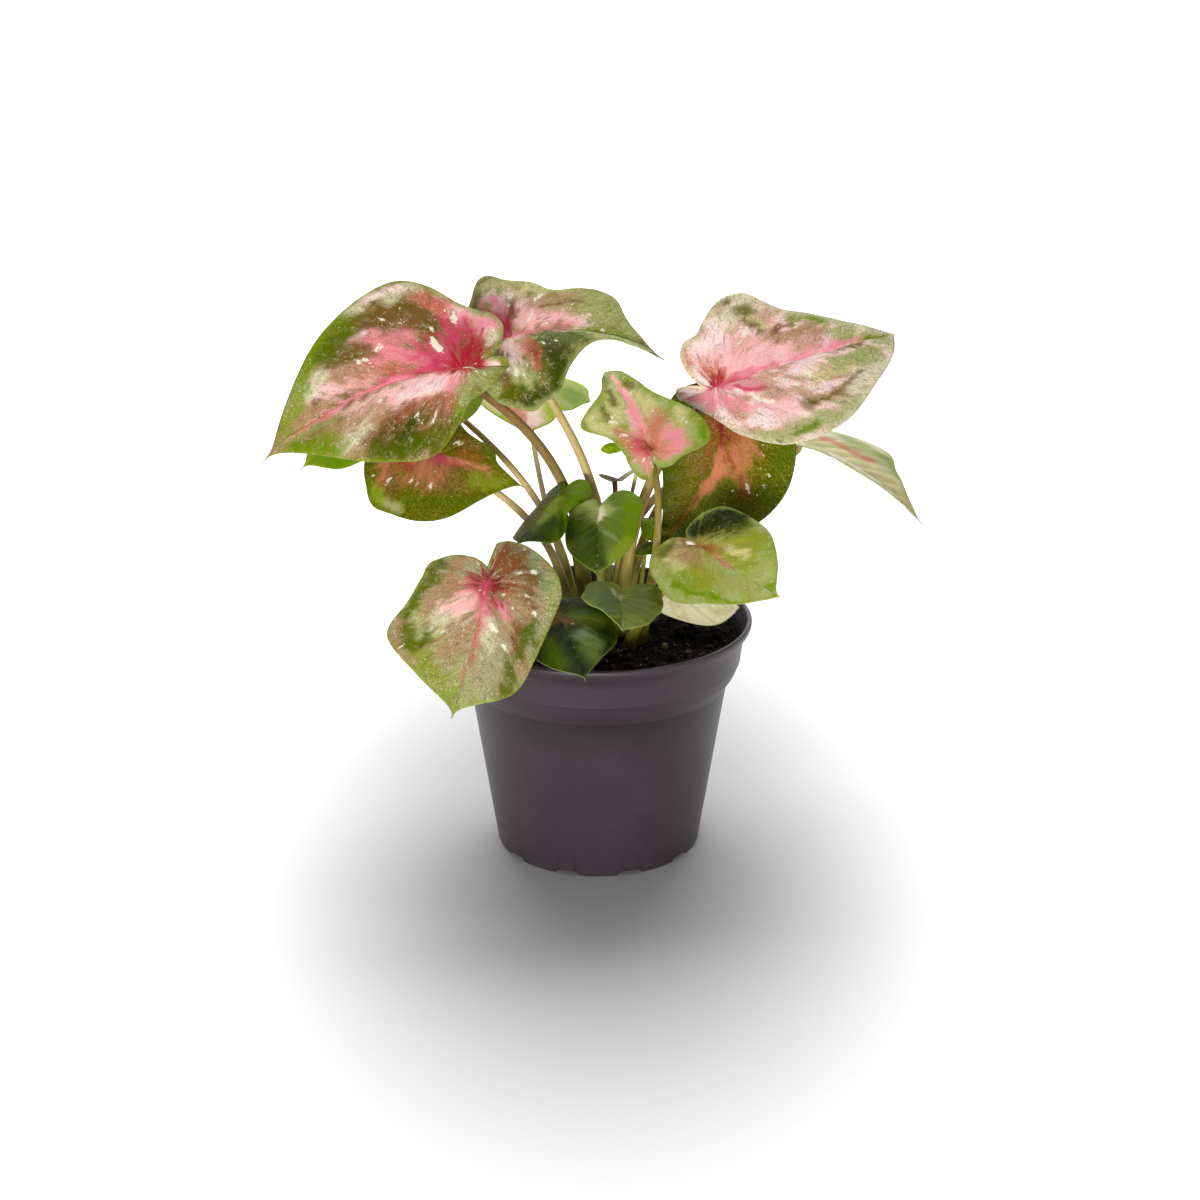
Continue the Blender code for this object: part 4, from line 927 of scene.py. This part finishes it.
def drill_mesh(radius, centre):
    """A plain rod for cutting a drain: a turned rectangle, moved to the drain's centre."""
    end = DRILL_LENGTH / 2
    points, faces = turned([(0, end), (radius, end), (radius, -end), (0, -end)], DRILL_SIDES)
    return mesh_object("drill", (points + centre) * MM, faces, ())


def soil_height(x, y, settings):
    """Height of the peat in millimetres: the level, fractal lumps, and a mound round the stalks."""
    lumps = rough_noise(x / LUMP_SIZE, y / LUMP_SIZE, SOIL_SEED, 5) * settings.roughness / MM
    mound = MOUND * np.exp(-(x * x + y * y) / MOUND_REACH**2)
    edge = -DIP * smooth_step(*DIP_RING, np.hypot(x, y))
    return settings.level / MM - SETTLED + lumps + mound + edge


def soil(settings, pot_settings):
    """Peat as a closed body: a turned profile whose top is moved to the height of the lumps."""
    wall, foot = pot_settings.wall / MM, pot_settings.foot_radius / MM
    level = settings.level / MM
    radii = np.linspace(0, 1, SOIL_RINGS)**0.9 * (inside_radius(level, wall, foot) - SOIL_TOP_GAP)
    heights = np.array([80, BAND_FOOT[1], 72, SHOULDER[1], 30, FLOOR + FLOOR_THICKNESS + SOIL_GAP])
    side = np.c_[inside_radius(heights, wall, foot) - SOIL_GAP, heights]
    top = np.c_[radii, np.full(len(radii), level)]
    points, faces = turned([*top, *side, (0, heights[-1])], SOIL_STEPS)
    upper = points[:, 2] > heights[0] + 1
    points[:, 2] = np.where(upper, soil_height(points[:, 0], points[:, 1], settings), points[:, 2])
    return mesh_object("peat_soil", points * MM, faces, (FINISHES["soil"],))


def tuber():
    """The tuber: a flattened turned body with rings of scars and fractal knobs."""
    low, high, radius = TUBER_LOW.z / MM, TUBER_HIGH.z / MM, TUBER_HIGH.x / MM
    t = np.pi * np.linspace(0, 1, TUBER_RINGS)
    middle, half = (low + high) / 2, (high - low) / 2
    points, faces = turned(np.c_[radius * np.sin(t)**0.7, middle + half * np.cos(t)], TUBER_STEPS)
    out = unit(points - (0, 0, middle))
    knobs = 0.5 * rough_noise(points[:, 0] / 5 + 9, points[:, 1] / 5 + points[:, 2] / 6, 5)
    knobs -= 0.6 * np.abs(knobs) + 0.15 * np.sin(points[:, 2] * 3)
    points += out * knobs[:, None] * KNOB_HEIGHT
    return mesh_object("tuber_crown", points * MM, faces, (FINISHES["tuber"],))


# Colours of the loose bits on the soil, and how common each is among the crumbs and the fibres.
GRIT = {name: linear(code) for name, code in {
    "peat": "2A1F18", "bark": "4A3425", "loam": "1C1512", "husk": "8A7650", "root": "C9B48A",
    "moss": "7E8A3A", "fibre": "6B4F36"}.items()}
CRUMB_MIX = (("peat", "peat", "bark", "loam", "husk"), (0.35, 0.25, 0.2, 0.15, 0.05))
FIBRE_MIX = (("fibre", "bark", "root", "husk", "moss"), (0.35, 0.25, 0.2, 0.12, 0.08))
CRUMB_ROWS, CRUMB_SIDES = 4, 6
CRUMB_SMALLEST, CRUMB_SPREAD = 0.35, 1.5   # radii of the crumbs in mm: most of them are small
CRUMB_LIFT = 0.25          # of its radius, from the peat to the middle of a crumb
FIBRE_SHORTEST, FIBRE_SPREAD = 2, 7        # lengths of the fibres in mm
FIBRE_THINNEST, FIBRE_EXTRA = 0.10, 0.22   # and their radii
CRUMB_RING, FIBRE_RING = (3, 53), (6, 52)  # inner and outer radius of where they lie, in mm
FIBRE_RINGS, FIBRE_SIDES = 7, 4


def scattered(rng, count, inner, outer):
    """Places spread evenly over a ring of the soil's surface."""
    turn = tau * rng.random(count)
    reach = np.sqrt(inner**2 + (outer**2 - inner**2) * rng.random(count))
    return reach * np.cos(turn), reach * np.sin(turn)


def litter(name, rng, shapes, faces, mix):
    """One mesh of many small shapes with the same faces, each in one of the colours of a mix."""
    count, corners = shapes.shape[:2]
    every = (faces[None] + corners * np.arange(count)[:, None, None]).reshape(-1, 4)
    triangle = every[:, 2] == every[:, 3]
    colours = [GRIT[shade] for shade in rng.choice(mix[0], count, p=mix[1])]
    return mesh_object(name, shapes.reshape(-1, 3) * MM, (every[triangle][:, :3], every[~triangle]),
                       (FINISHES["grit"],), np.repeat(colours, corners, axis=0))


def crumbs(settings):
    """Loose crumbs: one small ball of rings, repeated with its own size, squash, dents and turn for each."""
    rng = np.random.default_rng(CRUMB_SEED)
    count = settings.crumbs
    t = np.pi * (np.arange(CRUMB_ROWS) + 1) / (CRUMB_ROWS + 1)
    profile = [(0, 1), *zip(np.sin(t), np.cos(t)), (0, -1)]
    ball, (upper, sides, lower) = turned(profile, CRUMB_SIDES)
    faces = np.vstack([upper[:, [0, 1, 2, 2]], sides, lower[:, [0, 1, 2, 2]]])
    size = CRUMB_SMALLEST + CRUMB_SPREAD * rng.random(count)**3
    stretch = 0.6 + 0.8 * rng.random((count, 1, 3))
    dents = 1 + 0.5 * (rng.random((count, len(ball), 1)) - 0.5)
    shapes = ball * stretch * dents * size[:, None, None]
    yaw, lean = tau * rng.random(count), tau * rng.random(count)
    cos_yaw, sin_yaw, cos_lean, sin_lean = np.cos(yaw), np.sin(yaw), np.cos(lean), np.sin(lean)
    turns = np.stack([np.stack([cos_yaw, -sin_yaw * cos_lean, sin_yaw * sin_lean], -1),
                      np.stack([sin_yaw, cos_yaw * cos_lean, -cos_yaw * sin_lean], -1),
                      np.stack([0 * yaw, sin_lean, cos_lean], -1)], 1)
    x, y = scattered(rng, count, *CRUMB_RING)
    centre = np.stack([x, y, soil_height(x, y, settings) + CRUMB_LIFT * size], -1)
    shapes = np.einsum("nij,nkj->nki", turns, shapes) + centre[:, None]
    return litter("peat_crumbs", rng, shapes, faces, CRUMB_MIX)


def fibres(settings):
    """Roots and fibres on the peat: thin four-sided tubes along parabolas that bend sideways and up."""
    rng = np.random.default_rng(FIBRE_SEED)
    count = settings.fibres
    t = np.linspace(-1, 1, FIBRE_RINGS)
    x, y = scattered(rng, count, *FIBRE_RING)
    heading = tau * rng.random(count)
    length = FIBRE_SHORTEST + FIBRE_SPREAD * rng.random(count)**2
    bend = (rng.random(count) - 0.5) * length
    way = np.stack([np.cos(heading), np.sin(heading)], -1)
    side = np.stack([-way[:, 1], way[:, 0]], -1)
    flat = np.stack([x, y], -1)[:, None] + way[:, None] * (t[:, None] * length[:, None, None] / 2) \
        + side[:, None] * (t[:, None]**2 * bend[:, None, None] / 2)
    lift = soil_height(flat[..., 0], flat[..., 1], settings) + 0.35 + rng.random((count, 1)) * 0.8
    path = np.concatenate([flat, lift[..., None]], -1)
    thick = FIBRE_THINNEST + FIBRE_EXTRA * rng.random(count)**2
    radius = thick[:, None, None, None] * (1.05 - np.abs(t))[:, None, None]
    turn = around(FIBRE_SIDES)
    ring = np.cos(turn)[:, None] * np.concatenate([side, np.zeros((count, 1))], -1)[:, None, None] \
        + np.sin(turn)[:, None] * np.array([0, 0, 1.0])
    last = (FIBRE_RINGS - 1) * FIBRE_SIDES
    faces = np.vstack([grid_faces(FIBRE_RINGS, FIBRE_SIDES), (3, 2, 1, 0), last + np.arange(4)])
    shapes = (path[:, :, None] + radius * ring).reshape(count, -1, 3)
    return litter("peat_fibres", rng, shapes, faces, FIBRE_MIX)


# ---------------------------------------------------------------- finishes

FINISHES = {}
# Plain names of nodes with their settings. Values go to a node's inputs in order: place, scale, detail and
# roughness for noise, place and scale for cells, share, under and over for mix, and for ramp the value,
# from low, from high, to low and to high.
NODES = {
    **{word: ("Math", {"operation": word.upper()}) for word in (
        "add", "subtract", "multiply", "multiply_add", "absolute", "maximum", "fract", "pingpong")},
    **{"vector_" + word: ("VectorMath", {"operation": word.upper()}) for word in (
        "add", "multiply", "length", "distance")},
    "noise": ("TexNoise", {}), "cells": ("TexVoronoi", {}), "mix": ("Mix", {"data_type": "RGBA"}),
    "ramp": ("MapRange", {"interpolation_type": "SMOOTHSTEP"}),
}


def output(node, name=None):
    """The output of a node that has the name, or its first one in use."""
    return next(socket for socket in node.outputs if socket.enabled and name in (None, socket.name))


def add(tree, kind, *values, **settings):
    """Adds a node: values go to its inputs in order and settings to its inputs or properties by name.

    A node or an output given as a value is linked in.
    """
    kind, fixed = NODES.get(kind, (kind, {}))
    made = tree.nodes.new("ShaderNode" + kind)
    for name, value in {**fixed, **settings}.items():
        if name not in made.inputs:
            setattr(made, name, value)
    inputs = [socket for socket in made.inputs if socket.enabled]
    named = [(socket, settings[socket.name]) for socket in inputs if socket.name in settings]
    for socket, value in [*zip(inputs, values), *named]:
        if isinstance(value, bpy.types.Node):
            value = output(value)
        if isinstance(value, bpy.types.NodeSocket):
            tree.links.new(value, socket)
        else:
            socket.default_value = value
    return made


def finish(name, roughness, specular=0.5, ior=1.45):
    """A Principled material, and the function that adds nodes to its tree."""
    made = bpy.data.materials.new(name)
    made.use_nodes = True
    shader = made.node_tree.nodes["Principled BSDF"]
    shader.inputs["Roughness"].default_value = roughness
    shader.inputs["Specular IOR Level"].default_value = specular
    shader.inputs["IOR"].default_value = ior
    return made, partial(add, made.node_tree)


def dressed(made, colour, height, strength, depth, gloss=None):
    """The material with its colour, its relief as bumps so many millimetres deep, and its gloss linked in."""
    tree = made.node_tree
    bump = add(tree, "Bump", Height=height, Strength=strength, Distance=depth * MM)
    for name, node in (("Base Color", colour), ("Normal", bump), ("Roughness", gloss)):
        if node:
            tree.links.new(output(node), tree.nodes["Principled BSDF"].inputs[name])
    return made


def away_from(node, value, level):
    """How far a value is from a level."""
    return node("absolute", node("subtract", value, level))


# How one family of blades differs from another.
#   rib, vein           colours of the midrib and of the side veins, with how strongly they show
#   light, dark         colours of the streaks between the veins, with how strongly they show
#   net                 colour of the fine net of veinlets and cracks; speck is that of the small dots
#   feather             how far the brush strokes run out along the veins
#   scrawl_share        how strongly the dark and light scrawled lines show
Family = namedtuple("Family", "rib rib_share vein vein_share light light_share dark dark_share"
                              " net net_share speck speck_share feather scrawl_share")
FAMILIES = {
    "crimson": Family("D85A6A", 0.30, "D4706A", 0.06, "F0DCB8", 0.26, "4E4A14", 0.60, "565018", 0.75,
                      "EFE3C0", 0.70, 0.70, 0.75),
    "olive": Family("B05A48", 0.10, "A85848", 0.05, "9A9A34", 0.30, "2E3A04", 0.45, "A8A838", 0.75,
                    "B8B440", 0.95, 0.45, 0.50),
    "mottled": Family("DE9A88", 0.08, "D09A78", 0.04, "D8DCA0", 0.26, "5A6A18", 0.34, "7E8A28", 0.60,
                      "DEE0A0", 0.80, 0.35, 0.50),
    "plain": Family("8CA048", 0.14, "8AA048", 0.04, "8CA83A", 0.12, "2A3A02", 0.22, "5E7020", 0.12,
                    "B8C478", 0.08, 0.18, 0.0),
    "pale": Family("D8C49A", 0.35, "C8B088", 0.10, "F2ECD8", 0.22, "A09A64", 0.25, "A8A070", 0.30,
                   "8A7A50", 0.35, 0.30, 0.25),
}
CREAM = "F1E9D0"           # the large splashes
LANE_WIDTH = 9.0           # mm between side veins, about
FIBRE_WIDTH = 0.9          # mm across the grain, three times as coarse as real leaf tissue, so that it shows
FIBRE_LENGTH = 6.0         # mm along the grain
NET_CELL = 1.9             # mm between veinlets
SPECK_CELL = 2.4           # mm between the smallest cream specks


def blade_finish(name, family, roughness):
    """Waxy leaf skin: pigments in soft streaks, sunken paler veins, a net of veinlets and cream specks."""
    made, node = finish(f"waxy_{name}_leaf", roughness, 0.06)
    tint, blot, rib, mottle, grain, flat = (node("Attribute", attribute_name=key) for key in (
        "tint", "blot", "rib", "mottle", "grain", "flat"))
    blot, rib, mottle = (output(read, "Fac") for read in (blot, rib, mottle))
    flat = output(flat, "Vector")
    lane, along, wide = node("SeparateXYZ", output(grain, "Vector")).outputs
    _, off_axis, rim = node("SeparateXYZ", flat).outputs

    across = node("multiply", lane, LANE_WIDTH / FIBRE_WIDTH)
    fibre = node("CombineXYZ", across, node("multiply", along, 1 / FIBRE_LENGTH))
    streaks = node("noise", fibre, 1.0, 4.0, 0.6)
    patches = node("noise", flat, 0.22, 3.0, Distortion=0.6)
    shuffled = node("vector_add", flat, output(streaks, "Color"))
    net = node("cells", shuffled, 1 / NET_CELL, feature="DISTANCE_TO_EDGE", voronoi_dimensions="2D")
    specks = node("cells", shuffled, 1 / SPECK_CELL, feature="F1", voronoi_dimensions="2D")
    fine = node("noise", node("vector_multiply", fibre, (0.9, 1.9, 1.0)), 1.0, 3.0)
    scrawl = node("noise", shuffled, 0.42, 2.5, Distortion=1.2)
    ragged = node("noise", shuffled, 0.9, 3.0, 0.65)

    def patchy(value, low, high, most=1.0):
        """A value shown only where the patches lie between low and high, and at most so strongly."""
        return node("multiply", value, node("ramp", patches, low, high, 0.0, most))
    light = patchy(node("ramp", streaks, 0.52, 0.70, 0.0, family.light_share), 0.40, 0.62)
    dark = patchy(node("ramp", streaks, 0.47, 0.32, 0.0, family.dark_share), 0.60, 0.42)
    cracks = patchy(node("ramp", away_from(node, fine, 0.5), 0.022, 0.004), 0.62, 0.40,
                    family.net_share)
    dark_line, light_line = (
        patchy(node("ramp", away_from(node, scrawl, level), 0.014, 0.003, 0.0, family.scrawl_share),
               0.42, 0.56) for level in (0.5, 0.56))
    veinlets = patchy(node("ramp", net, 0.07, 0.0), 0.4, 0.62, family.net_share)
    colour = tint
    for ink, share in ((family.light, light), (family.dark, dark), (family.net, cracks),
                       (family.dark, dark_line), (family.speck, light_line), (family.net, veinlets)):
        colour = node("mix", node("multiply", share, mottle), colour, rgba(ink))

    nearest = away_from(node, node("fract", node("add", lane, 0.5)), 0.5)
    vein = node("ramp", node("multiply", nearest, wide), 0.55, 0.1)
    vein = node("multiply", vein, node("ramp", rim, 1.0, 6.0))
    faded = node("multiply", vein, node("ramp", along, 40.0, 3.0, 0.0, family.vein_share))
    colour = node("mix", faded, colour, rgba(family.vein))
    middle = node("ramp", rib, -0.35, 0.35, 0.0, family.rib_share)
    colour = node("mix", middle, colour, rgba(family.rib))

    splash = node("ramp", node("multiply_add", ragged, 2.6, blot), 1.58, 1.90, 0.0, 0.90)
    chance = node("SeparateColor", output(specks, "Color"))
    inside = node("subtract", node("multiply_add", chance, 0.5, -0.33), specks)
    speck = patchy(node("ramp", inside, 0.0, 0.07), 0.35, 0.55, family.speck_share)
    colour = node("mix", node("multiply", speck, mottle), colour, rgba(family.speck))
    colour = node("mix", splash, colour, rgba(CREAM))

    height = node("multiply_add", vein, -0.12, node("multiply", streaks, 0.14))
    # the grain turns over at the midrib, so the fine relief is smoothed out there
    height = node("multiply", height, node("ramp", node("absolute", off_axis), 0.4, 1.6))
    gloss = node("MapRange", streaks, 0.3, 0.7, roughness - 0.05, roughness + 0.10)
    return dressed(made, colour, height, 0.6, 0.6, gloss)


def under_finish(name, family):
    """The lower face of a blade: the same pigments, paler and greyer, matt, with raised pale veins."""
    made, node = finish(f"matt_{name}_leaf_underside", 0.6, 0.3)
    tint, grain = (node("Attribute", attribute_name=key) for key in ("tint", "grain"))
    lane, _, wide = node("SeparateXYZ", output(grain, "Vector")).outputs
    nearest = node("pingpong", lane, 0.5)
    vein = node("ramp", node("multiply", nearest, wide), 0.9, 0.2)
    colour = node("mix", 0.45, tint, rgba("A9B08A"))
    colour = node("mix", node("multiply", vein, 0.5), colour, rgba(family.light))
    return dressed(made, colour, vein, 0.5, 0.4)


def stalk_finish():
    """Smooth fleshy stalk: the tint along it, with fine darker and paler streaks that run lengthwise."""
    made, node = finish("fleshy_leaf_stalk", 0.38, 0.12)
    tint, grain = (node("Attribute", attribute_name=key) for key in ("tint", "grain"))
    drawn_out = node("vector_multiply", output(grain, "Vector"), (2.2, 0.16, 1.0))
    streaks = node("noise", drawn_out, 1.0, 4.0, 0.65)
    colour = node("mix", node("ramp", streaks, 0.48, 0.30, 0.0, 0.5), tint, rgba("5A4A1C"))
    colour = node("mix", node("ramp", streaks, 0.55, 0.72, 0.0, 0.35), colour, rgba("E2D8A8"))
    return dressed(made, colour, streaks, 0.35, 0.3)


# Where the soil marked the pot's wall, and the straight line that parts its inside from its outside.
MARK = (33.6 * MM, -43.2 * MM, 83.5 * MM)
MARK_RADIUS = 1.0 * MM
INNER_SLOPE = 0.19         # rise of that line's radius with height
INNER_FOOT = 38.3 * MM     # its radius at the floor


def pot_finish(settings):
    """Moulded polypropylene: even satin brown-grey, faintly clouded and dusty, with painted shade darkening
    the inside.
    """
    made, node = finish("moulded_polypropylene", 0.42, 0.32, 1.49)
    plastic, scuff = (*settings.plastic, 1.0), (*settings.scuff, 1.0)
    at = output(node("TexCoord"), "Object")
    cloud, dust, fine = (node("noise", at, scale, detail, roughness) for scale, detail, roughness in (
        (28.0, 4.0, 0.5), (420.0, 3.0, 0.7), (900.0, 2.0, 0.5)))
    colour = node("mix", node("ramp", cloud, 0.45, 0.8, 0.0, 0.03), plastic, scuff)
    colour = node("mix", node("ramp", dust, 0.62, 0.78, 0.0, 0.08), colour, scuff)
    off_mark = node("vector_distance", at, MARK)
    mark = node("ramp", off_mark, MARK_RADIUS, MARK_RADIUS / 2, 0.0, 0.9)
    colour = node("mix", mark, colour, rgba("14100E"))
    radius = node("vector_length", node("vector_multiply", at, (1.0, 1.0, 0.0)))
    height = output(node("SeparateXYZ", at), "Z")
    within = node("subtract", node("multiply_add", height, INNER_SLOPE, INNER_FOOT), radius)
    # the wall's inside is painted near-black: painted shade in the pot's hollow above the soil
    colour = node("mix", node("ramp", within, 0.0, 0.8 * MM, 0.0, 0.85), colour, rgba("1C1916"))
    return dressed(made, colour, fine, 0.12, 0.2)


def soil_finish(settings):
    """Moist peat: near-black brown with lighter grains 0.5 to 2 mm across, matt."""
    made, node = finish("moist_peat", 0.9, 0.06)
    at = output(node("TexCoord"), "Object")
    grains = node("noise", at, 600.0, 5.0, 0.7)
    lumps = node("cells", at, 420.0)
    light = node("ramp", grains, 0.52, 0.74, 0.0, 0.8)
    dark = node("ramp", lumps, 0.45, 0.8, 0.0, 0.8)
    colour = node("mix", light, (*settings.peat, 1.0), rgba("33261B"))
    return dressed(made, node("mix", dark, colour, rgba("080604")), grains, 1.0, 1.2)


def grit_finish():
    """Crumbs, bark and roots: each with its own tint, roughened by a fine grain."""
    made, node = finish("peat_crumbs_and_roots", 0.85, 0.3)
    tint = node("Attribute", attribute_name="tint")
    grains = node("noise", output(node("TexCoord"), "Object"), 900.0, 4.0)
    colour = node("mix", node("ramp", grains, 0.55, 0.35, 0.0, 0.6), tint, rgba("0E0A08"))
    return dressed(made, colour, grains, 0.8, 0.5)


def tuber_finish():
    """Corky tuber skin: brown, mottled darker and ringed with paler scars 3 mm apart, matt."""
    made, node = finish("corky_tuber_skin", 0.85, 0.3)
    at = output(node("TexCoord"), "Object")
    cork = node("noise", at, 260.0, 5.0)
    rings = node("TexWave", at, 106.0, Distortion=4.0, Detail=2.0, bands_direction="Z")
    dark, light = node("ramp", cork, 0.45, 0.7, 0.0, 0.8), node("ramp", rings, 0.7, 0.95, 0.0, 0.4)
    colour = node("mix", dark, rgba("6A4A30"), rgba("2E1E14"))
    return dressed(made, node("mix", light, colour, rgba("8A6A48")), cork, 0.8, 0.8)


CARD_WHITE = (0.63, 0.63, 0.63, 1)
WHITE = (1, 1, 1, 1)
CARD_NEAR, CARD_FAR = 0.02, 0.22  # metres from the middle at which the card starts to shine and is white


def straight_view(tree):
    """1 for what the camera sees, straight or in gloss or glass, and 0 for the light on the object."""
    seen = add(tree, "LightPath")
    return add(tree, "maximum", output(seen, "Is Transmission Ray"), add(
        tree, "maximum", output(seen, "Is Camera Ray"), output(seen, "Is Glossy Ray")))


def floor_finish():
    """White studio card: it takes the plant's shadow, and shines white to the camera and in reflections."""
    made = bpy.data.materials.new("white_studio_card")
    made.use_nodes = True
    tree = made.node_tree
    tree.nodes.clear()
    # the lamps behind throw the shadow forwards, so the card clears sooner at the sides
    flat = add(tree, "vector_multiply", output(add(tree, "TexCoord"), "Object"), (1, 0.5, 1))
    far = add(tree, "ramp", add(tree, "vector_length", flat), CARD_NEAR, CARD_FAR)
    glow = add(tree, "Emission", WHITE, add(tree, "multiply", straight_view(tree), far))
    add(tree, "OutputMaterial", add(tree, "AddShader", add(tree, "BsdfDiffuse", CARD_WHITE), glow))
    return made


def make_finishes(scene):
    """All the finishes by name, made once and shared by the pieces."""
    if FINISHES:
        return
    for name, family in FAMILIES.items():
        FINISHES[name] = blade_finish(name, family, scene.caladium_blade.gloss)
        FINISHES[name + "_under"] = under_finish(name, family)
    FINISHES.update(stalk=stalk_finish(), pot=pot_finish(scene.caladium_pot), grit=grit_finish(),
                    soil=soil_finish(scene.caladium_soil), tuber=tuber_finish(), floor=floor_finish())


# ---------------------------------------------------------------- operators

FLOOR_REACH = 3.0          # metres from the middle of the floor to its sides
AIM_SIDE = 0.66 * MM       # how far right of the pot's axis the camera looks
# Lamps: name, place, width and depth in metres, and share of the lamp power.
LAMPS = (("lamp_behind", (0.0, 0.60, 0.85), (1.0, 1.0), 1.0),
         ("lamp_front", (-0.25, -1.3, 0.13), (1.0, 0.22), 1.85))


def grow_blades(context, group):
    """Builds one group of blades, each with the finish that its coat names."""
    make_finishes(context.scene)
    for name in LEAF_GROUPS[group]:
        seed = list(LEAVES).index(name) + 1
        made = blade(LEAVES[name], COATS[name], seed, context.scene.caladium_blade)
        place(made, group + "_leaf", f"blade_{name}")
    return {"FINISHED"}


class CALADIUM_OT_crimson_blades(bpy.types.Operator):
    """Build the crimson and pink leaf blades"""
    bl_idname = "caladium.crimson_blades"
    bl_label = "Crimson Blades"

    def execute(self, context):
        return grow_blades(context, "crimson")


class CALADIUM_OT_olive_blades(bpy.types.Operator):
    """Build the olive leaf blades with salmon veins"""
    bl_idname = "caladium.olive_blades"
    bl_label = "Olive Blades"

    def execute(self, context):
        return grow_blades(context, "olive")


class CALADIUM_OT_green_blades(bpy.types.Operator):
    """Build the green and mottled leaf blades"""
    bl_idname = "caladium.green_blades"
    bl_label = "Green Blades"

    def execute(self, context):
        return grow_blades(context, "green")


class CALADIUM_OT_pale_blades(bpy.types.Operator):
    """Build the cream leaf blades"""
    bl_idname = "caladium.pale_blades"
    bl_label = "Pale Blades"

    def execute(self, context):
        return grow_blades(context, "pale")


class CALADIUM_OT_stalks(bpy.types.Operator):
    """Build the leaf stalks"""
    bl_idname = "caladium.stalks"
    bl_label = "Stalks"

    def execute(self, context):
        make_finishes(context.scene)
        for seed, (name, leaf) in enumerate(LEAVES.items()):
            made = stalk(leaf, COATS[name], seed, context.scene.caladium_stalk)
            place(made, "leaf_stalk", f"stalk_{name}")
        return {"FINISHED"}


class CALADIUM_OT_pot(bpy.types.Operator):
    """Build the nursery pot"""
    bl_idname = "caladium.pot"
    bl_label = "Pot"

    def execute(self, context):
        make_finishes(context.scene)
        place(pot(context.scene.caladium_pot), "pot_plastic", "pot")
        return {"FINISHED"}


class CALADIUM_OT_soil(bpy.types.Operator):
    """Build the peat, its crumbs and fibres, and the tuber"""
    bl_idname = "caladium.soil"
    bl_label = "Soil and Tuber"

    def execute(self, context):
        make_finishes(context.scene)
        settings = context.scene.caladium_soil
        place(soil(settings, context.scene.caladium_pot), "potting_soil", "soil")
        place(crumbs(settings), "potting_soil")
        place(fibres(settings), "potting_soil")
        place(tuber(), "tuber_skin", "tuber")
        return {"FINISHED"}


class CALADIUM_OT_stage(bpy.types.Operator):
    """Set the camera, the white floor, the even sky and the soft lamps"""
    bl_idname = "caladium.stage"
    bl_label = "Stage"

    @staticmethod
    def aimed(made, spot, aim):
        """Puts a camera or a lamp at a spot, turned towards the aim."""
        made.location = spot
        made.rotation_euler = (aim - Vector(spot)).to_track_quat("-Z", "Y").to_euler()
        bpy.context.scene.collection.objects.link(made)

    def execute(self, context):
        scene = context.scene
        make_finishes(scene)
        settings = scene.caladium_stage
        corners = np.array([(-1, -1, 0), (1, -1, 0), (1, 1, 0), (-1, 1, 0)]) * FLOOR_REACH
        mesh_object("studio_floor", corners, (np.array([[0, 1, 2, 3]]),), (FINISHES["floor"],))

        aim = Vector((AIM_SIDE, 0, settings.aim_height))
        camera = bpy.data.objects.new("camera", bpy.data.cameras.new("camera"))
        camera.data.lens = settings.lens
        camera.data.sensor_width = 36
        away = Vector((0, -np.cos(settings.elevation), np.sin(settings.elevation)))
        self.aimed(camera, aim + away * settings.distance, aim)
        scene.camera = camera

        world = bpy.data.worlds.new("white_studio")
        world.use_nodes = True
        tree = world.node_tree
        tree.nodes.clear()
        strength = add(tree, "MapRange", straight_view(tree), 0.0, 1.0, settings.sky, 1.0)
        add(tree, "OutputWorld", add(tree, "Background", WHITE, strength))
        scene.world = world
        scene.view_settings.view_transform = "Standard"

        for name, spot, (width, depth), share in LAMPS:
            lamp = bpy.data.lights.new(name, "AREA")
            lamp.energy = settings.lamp_power * share
            lamp.shape = "RECTANGLE"
            lamp.size, lamp.size_y = width, depth
            self.aimed(bpy.data.objects.new(name, lamp), spot, aim)
        return {"FINISHED"}


class CALADIUM_PT_panel(bpy.types.Panel):
    """Buttons and settings of the caladium"""
    bl_label = "Potted Caladium"
    bl_idname = "CALADIUM_PT_panel"
    bl_space_type = "VIEW_3D"
    bl_region_type = "UI"
    bl_category = "Caladium"

    def draw(self, context):
        for operator in OPERATORS:
            self.layout.operator(operator.bl_idname)
        for key, group in SETTINGS.items():
            box = self.layout.box()
            for name in group.__annotations__:
                box.prop(getattr(context.scene, key), name)


OPERATORS = (CALADIUM_OT_stage, CALADIUM_OT_pot, CALADIUM_OT_soil, CALADIUM_OT_stalks,
             CALADIUM_OT_crimson_blades, CALADIUM_OT_olive_blades, CALADIUM_OT_green_blades,
             CALADIUM_OT_pale_blades)
CLASSES = (*SETTINGS.values(), *OPERATORS, CALADIUM_PT_panel)


def register():
    """Adds the classes to Blender, and the settings to its scenes."""
    for kind in CLASSES:
        bpy.utils.register_class(kind)
    for key, group in SETTINGS.items():
        setattr(bpy.types.Scene, key, PointerProperty(type=group))


def unregister():
    """Takes the settings and the classes out again."""
    for key in SETTINGS:
        delattr(bpy.types.Scene, key)
    for kind in reversed(CLASSES):
        bpy.utils.unregister_class(kind)


def main():
    """Builds the stage and every piece."""
    register()
    for operator in OPERATORS:
        group, name = operator.bl_idname.split(".")
        getattr(getattr(bpy.ops, group), name)()


if __name__ == "__main__":
    main()
